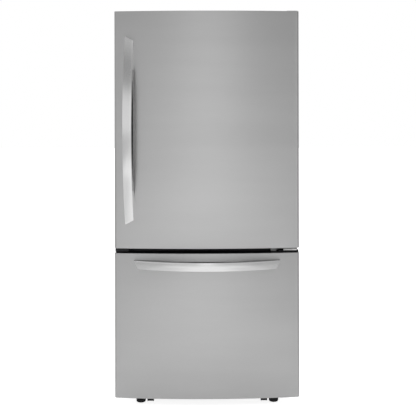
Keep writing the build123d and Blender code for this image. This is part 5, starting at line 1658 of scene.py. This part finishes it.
@dataclass
class Studio:
    """The floor, the light and the camera at the photograph's viewpoint."""

    lamps: tuple[Lamp, ...] = (
        Lamp("left_soft", (-3.6, -3.4, 3.2), (1.6, 1.6), 40.0),
        Lamp("right_soft", (3.6, -3.4, 3.2), (1.6, 1.6), 40.0),
        Lamp("back_soft", (0.0, 4.0, 3.4), (3.0, 2.0), 30.0),
    )
    distance: float = 3.80
    eye: float = 1.302
    centre_height: float = 0.8895
    centre_x: float = 0.0056
    pixel: float = 4.4745 * MM
    image: int = 416
    edge_plane: float = -0.3575
    roll: float = 0.12
    yaw: float = 0.45
    sky: float = 0.72
    floor_white: float = 0.86
    floor_in_metal: float = 0.05
    floor_span: float = 3.0
    floor_half: float = 30.0
    floor_patch: float = 1.5
    floor_shades: Span = (0.93, 0.95)
    floor_roughness: float = 0.9
    # How the floor looks in metal: a glowing card to each side ahead, a painted bright reflection, and tones
    # that paint shade to the sides and near the object.
    card_strength: float = 0.26
    card_across: Profile = ((0.0, 0.2), (0.20, 0.3), (0.34, 1.0), (0.68, 1.0), (0.76, 0.0), (1.0, 0.0))
    card_along: Profile = ((0.0, 0.0), (0.52, 0.0), (0.57, 1.0), (0.86, 1.0), (0.95, 0.35), (1.0, 0.35))
    beside: float = 0.6
    floor_tones: Profile = ((0.0, 1.0), (0.15, 1.0), (0.20, 0.94), (0.27, 0.83), (0.37, 0.70), (1.0, 0.66))
    turn_tones: Profile = ((0.0, 1.0), (0.38, 1.0), (0.48, 0.80), (1.0, 0.76))
    near_shade_tones: Profile = ((0.0, 0.84), (0.20, 0.84), (0.36, 1.0), (1.0, 1.0))
    sky_tones: Profile = (
        (0.0, 1.06), (0.10, 1.0), (0.22, 0.96), (0.29, 0.46), (0.44, 0.40), (0.56, 0.66), (1.0, 0.50),
    )
    side_tones: Profile = (
        (0.0, 0.66), (0.28, 0.70), (0.43, 0.68), (0.465, 1.0),
        (0.54, 1.0), (0.575, 0.60), (0.72, 0.56), (1.0, 0.50),
    )

    def camera(self) -> None:
        """Sets a level camera in front of the object, turned a hair to the right and rolled."""
        data = bpy.data.cameras.new("camera")
        data.sensor_width = 36.0
        width = self.pixel * self.image
        data.lens = data.sensor_width * self.distance / width
        data.shift_x = -tan(radians(self.yaw)) * self.distance / width
        data.shift_y = (self.centre_height - self.eye) / width
        data.clip_end = 100.0
        made = linked("camera", data)
        made.location = (self.centre_x, self.edge_plane - self.distance, self.eye)
        level = Matrix.Rotation(radians(-self.yaw), 4, "Z") @ Matrix.Rotation(radians(90), 4, "X")
        made.rotation_euler = (level @ Matrix.Rotation(radians(-self.roll), 4, "Z")).to_euler()
        bpy.context.scene.camera = made

    def world(self) -> None:
        """Sets white behind the object, a soft bright room for metal, and a plain grey light for the rest."""
        world = bpy.data.worlds.new("studio")
        bpy.context.scene.world = world
        world.use_nodes = True
        nodes = Nodes(world.node_tree)
        output = nodes.add("OutputWorld")
        direction = nodes.add("SeparateXYZ", Vector=nodes.add("TexCoord").outputs["Generated"])
        height = nodes.curve(direction.outputs["Z"], self.sky_tones)
        aside = nodes.math("MULTIPLY_ADD", direction.outputs["X"], 0.5, 0.5)
        fall = nodes.curve(aside, self.side_tones)
        room = nodes.add("Background", Strength=nodes.math("MULTIPLY", height, fall))
        white = nodes.add("Background", Strength=1.0)
        plain = nodes.add("Background", Strength=self.sky)
        for shader in (room, white, plain):
            shader.inputs["Color"].default_value = (1.0, 1.0, 1.0, 1.0)
        path = nodes.add("LightPath")
        seen = nodes.math("MAXIMUM", path.outputs["Is Camera Ray"], path.outputs["Is Transmission Ray"])
        lit = nodes.add("MixShader", Fac=path.outputs["Is Glossy Ray"])
        nodes.join(lit, plain, room)
        final = nodes.add("MixShader", Fac=seen)
        nodes.join(final, lit, white)
        nodes.feed(output.inputs["Surface"], final.outputs[0])

    def floor(self) -> None:
        """Lays a pale floor that keeps the object's shadow and shows white to the camera; in metal it shows
        painted shade to the sides and near the object, and glowing cards that paint bright reflections.
        """
        bm = bmesh.new()
        bmesh.ops.create_grid(bm, x_segments=1, y_segments=1, size=self.floor_half)
        mesh = bpy.data.meshes.new("floor")
        bm.to_mesh(mesh)
        bm.free()
        made = linked("floor", mesh)
        nodes = Nodes.material_of("studio_floor")
        tone = nodes.noise(self.floor_patch)
        path = nodes.add("LightPath")
        place = nodes.add("SeparateXYZ", Vector=nodes.place((1.0 / self.floor_span,) * 3))
        across = nodes.math("ABSOLUTE", place.outputs["X"])
        along = nodes.curve(nodes.math("MULTIPLY", place.outputs["Y"], -0.5), self.card_along)
        # In metal the floor is darker to the sides, at slanting angles to the sides and near the object:
        # painted shade.
        aside = nodes.curve(across, self.floor_tones)
        ahead = nodes.curve(nodes.math("ABSOLUTE", place.outputs["Y"]), self.near_shade_tones)
        beside = nodes.math("MULTIPLY_ADD", across, self.floor_span, -self.beside)
        away = nodes.work("VectorMath", "LENGTH", nodes.place((1.0, 1.0, 0.0)))
        turn = nodes.curve(nodes.math("DIVIDE", beside, away.outputs["Value"]), self.turn_tones)
        metal_shade = nodes.math("MULTIPLY", nodes.math("MULTIPLY", aside, ahead), turn)
        fade = nodes.span(path.outputs["Is Glossy Ray"], 1.0, metal_shade, 0.0, 1.0)
        paint = nodes.work("VectorMath", "SCALE", nodes.tones(tone, *map(grey, self.floor_shades)))
        nodes.feed(paint.inputs["Scale"], fade)
        nodes.set(Base_Color=paint.outputs[0], Roughness=self.floor_roughness, Specular_IOR_Level=0.0)
        seen = nodes.math("MULTIPLY", path.outputs["Is Camera Ray"], self.floor_white)
        # A glowing card to each side ahead, seen only in metal: painted bright reflection.
        card = nodes.math("MULTIPLY", nodes.curve(across, self.card_across), along)
        in_metal = nodes.math("MULTIPLY_ADD", card, self.card_strength, self.floor_in_metal)
        level = nodes.math("MULTIPLY_ADD", path.outputs["Is Glossy Ray"], in_metal, seen)
        glow = nodes.add("Emission", Color=(1.0, 1.0, 1.0, 1.0), Strength=level)
        both = nodes.add("AddShader")
        nodes.join(both, nodes.shader, glow)
        nodes.feed(nodes.output.inputs["Surface"], both.outputs[0])
        mesh.materials.append(nodes.material)

    def build(self) -> None:
        """Builds the surroundings."""
        self.camera()
        self.world()
        self.floor()
        for lamp in self.lamps:
            lamp.build()
        bpy.context.scene.view_settings.view_transform = "Standard"


# ---------------------------------------------------------------- dressing the carried nodes
NODES_BY_FINISH: dict[Finish, str] = {
    Finish.STAINLESS: "door_skin drawer_skin",
    Finish.HANDLE: "door_handle",
    Finish.DRAWER_HANDLE: "drawer_handle",
    Finish.CABINET: "cabinet_shell",
    Finish.PANEL: "cabinet_back",
    Finish.BLACK_PAINT: "centre_rail compressor condenser_coil",
    Finish.ZINC: "base_frame machine_cover top_hinge drawer_frame slide_members slide_rails stabiliser_bar",
    Finish.HINGE_ZINC: "middle_hinge",
    Finish.HINGE_COVER: "top_hinge_cover",
    Finish.DARK: (
        "cord_gland condenser_fan_motor drain_pan front_roller_left front_roller_right rear_roller_left"
        " rear_roller_right levelling_foot_left levelling_foot_right"
    ),
    Finish.CAPS: "door_caps drawer_caps",
    Finish.GREY_PLASTIC: "condenser_fan_blade control_button humidity_slider_left humidity_slider_right",
    Finish.RUBBER: "door_gasket drawer_gasket",
    Finish.FOAM: "cabinet_insulation door_insulation drawer_insulation",
    Finish.LINER: "fridge_liner freezer_liner door_liner drawer_liner",
    Finish.WHITE: (
        "evaporator_cover evaporator_fan_blade air_duct damper_flap control_panel crisper_cover lower_shelf"
        " upper_shelf freezer_basket"
    ),
    Finish.FINS: "evaporator",
    Finish.GLASS: "shelf_glass",
    Finish.CLEAR: (
        "crisper_left crisper_right door_bin_lower door_bin_upper dairy_bin dairy_cover freezer_tray"
    ),
}


def dress_nodes() -> None:
    """Gives every CAD node its finish."""
    finishes = {node: finish for finish, nodes in NODES_BY_FINISH.items() for node in nodes.split()}
    for name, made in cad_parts.items():
        material = finishes[name].material
        if not made.material_slots:
            made.data.materials.append(material)
        for part in made.material_slots:
            part.material = material


def main() -> None:
    """Builds every sub-assembly in order."""
    logging.basicConfig(level=logging.INFO, format="%(name)s: %(message)s")
    Studio().build()
    dress_nodes()
    door = CrownedFront("door_skin", "fridge_door")
    drawer = CrownedFront("drawer_skin", "freezer_drawer", foot_rim=3.3 * MM)
    door_handle = BarHandle(
        "door_handle", door, Finish.HANDLE, upright=True, side_reach=0.52, fade_reach=0.64,
    )
    drawer_handle = BarHandle(
        "drawer_handle", drawer, Finish.DRAWER_HANDLE, upright=False, width=37.0 * MM, gap=450.0 * MM,
        side_shade_finish=Finish.DRAWER_SIDE_SHADE, strip_width=25.0 * MM,
    )
    supports = [part for side in Side for part in (LevellingFoot(side), *(Roller(end, side) for end in End))]
    rest = [HingeCover(), GapFittings(), RearFittings(), Compressor(), Interior()]
    for part in (door, drawer, door_handle, drawer_handle, *supports, *rest):
        part.build()


if __name__ == "__main__":
    main()
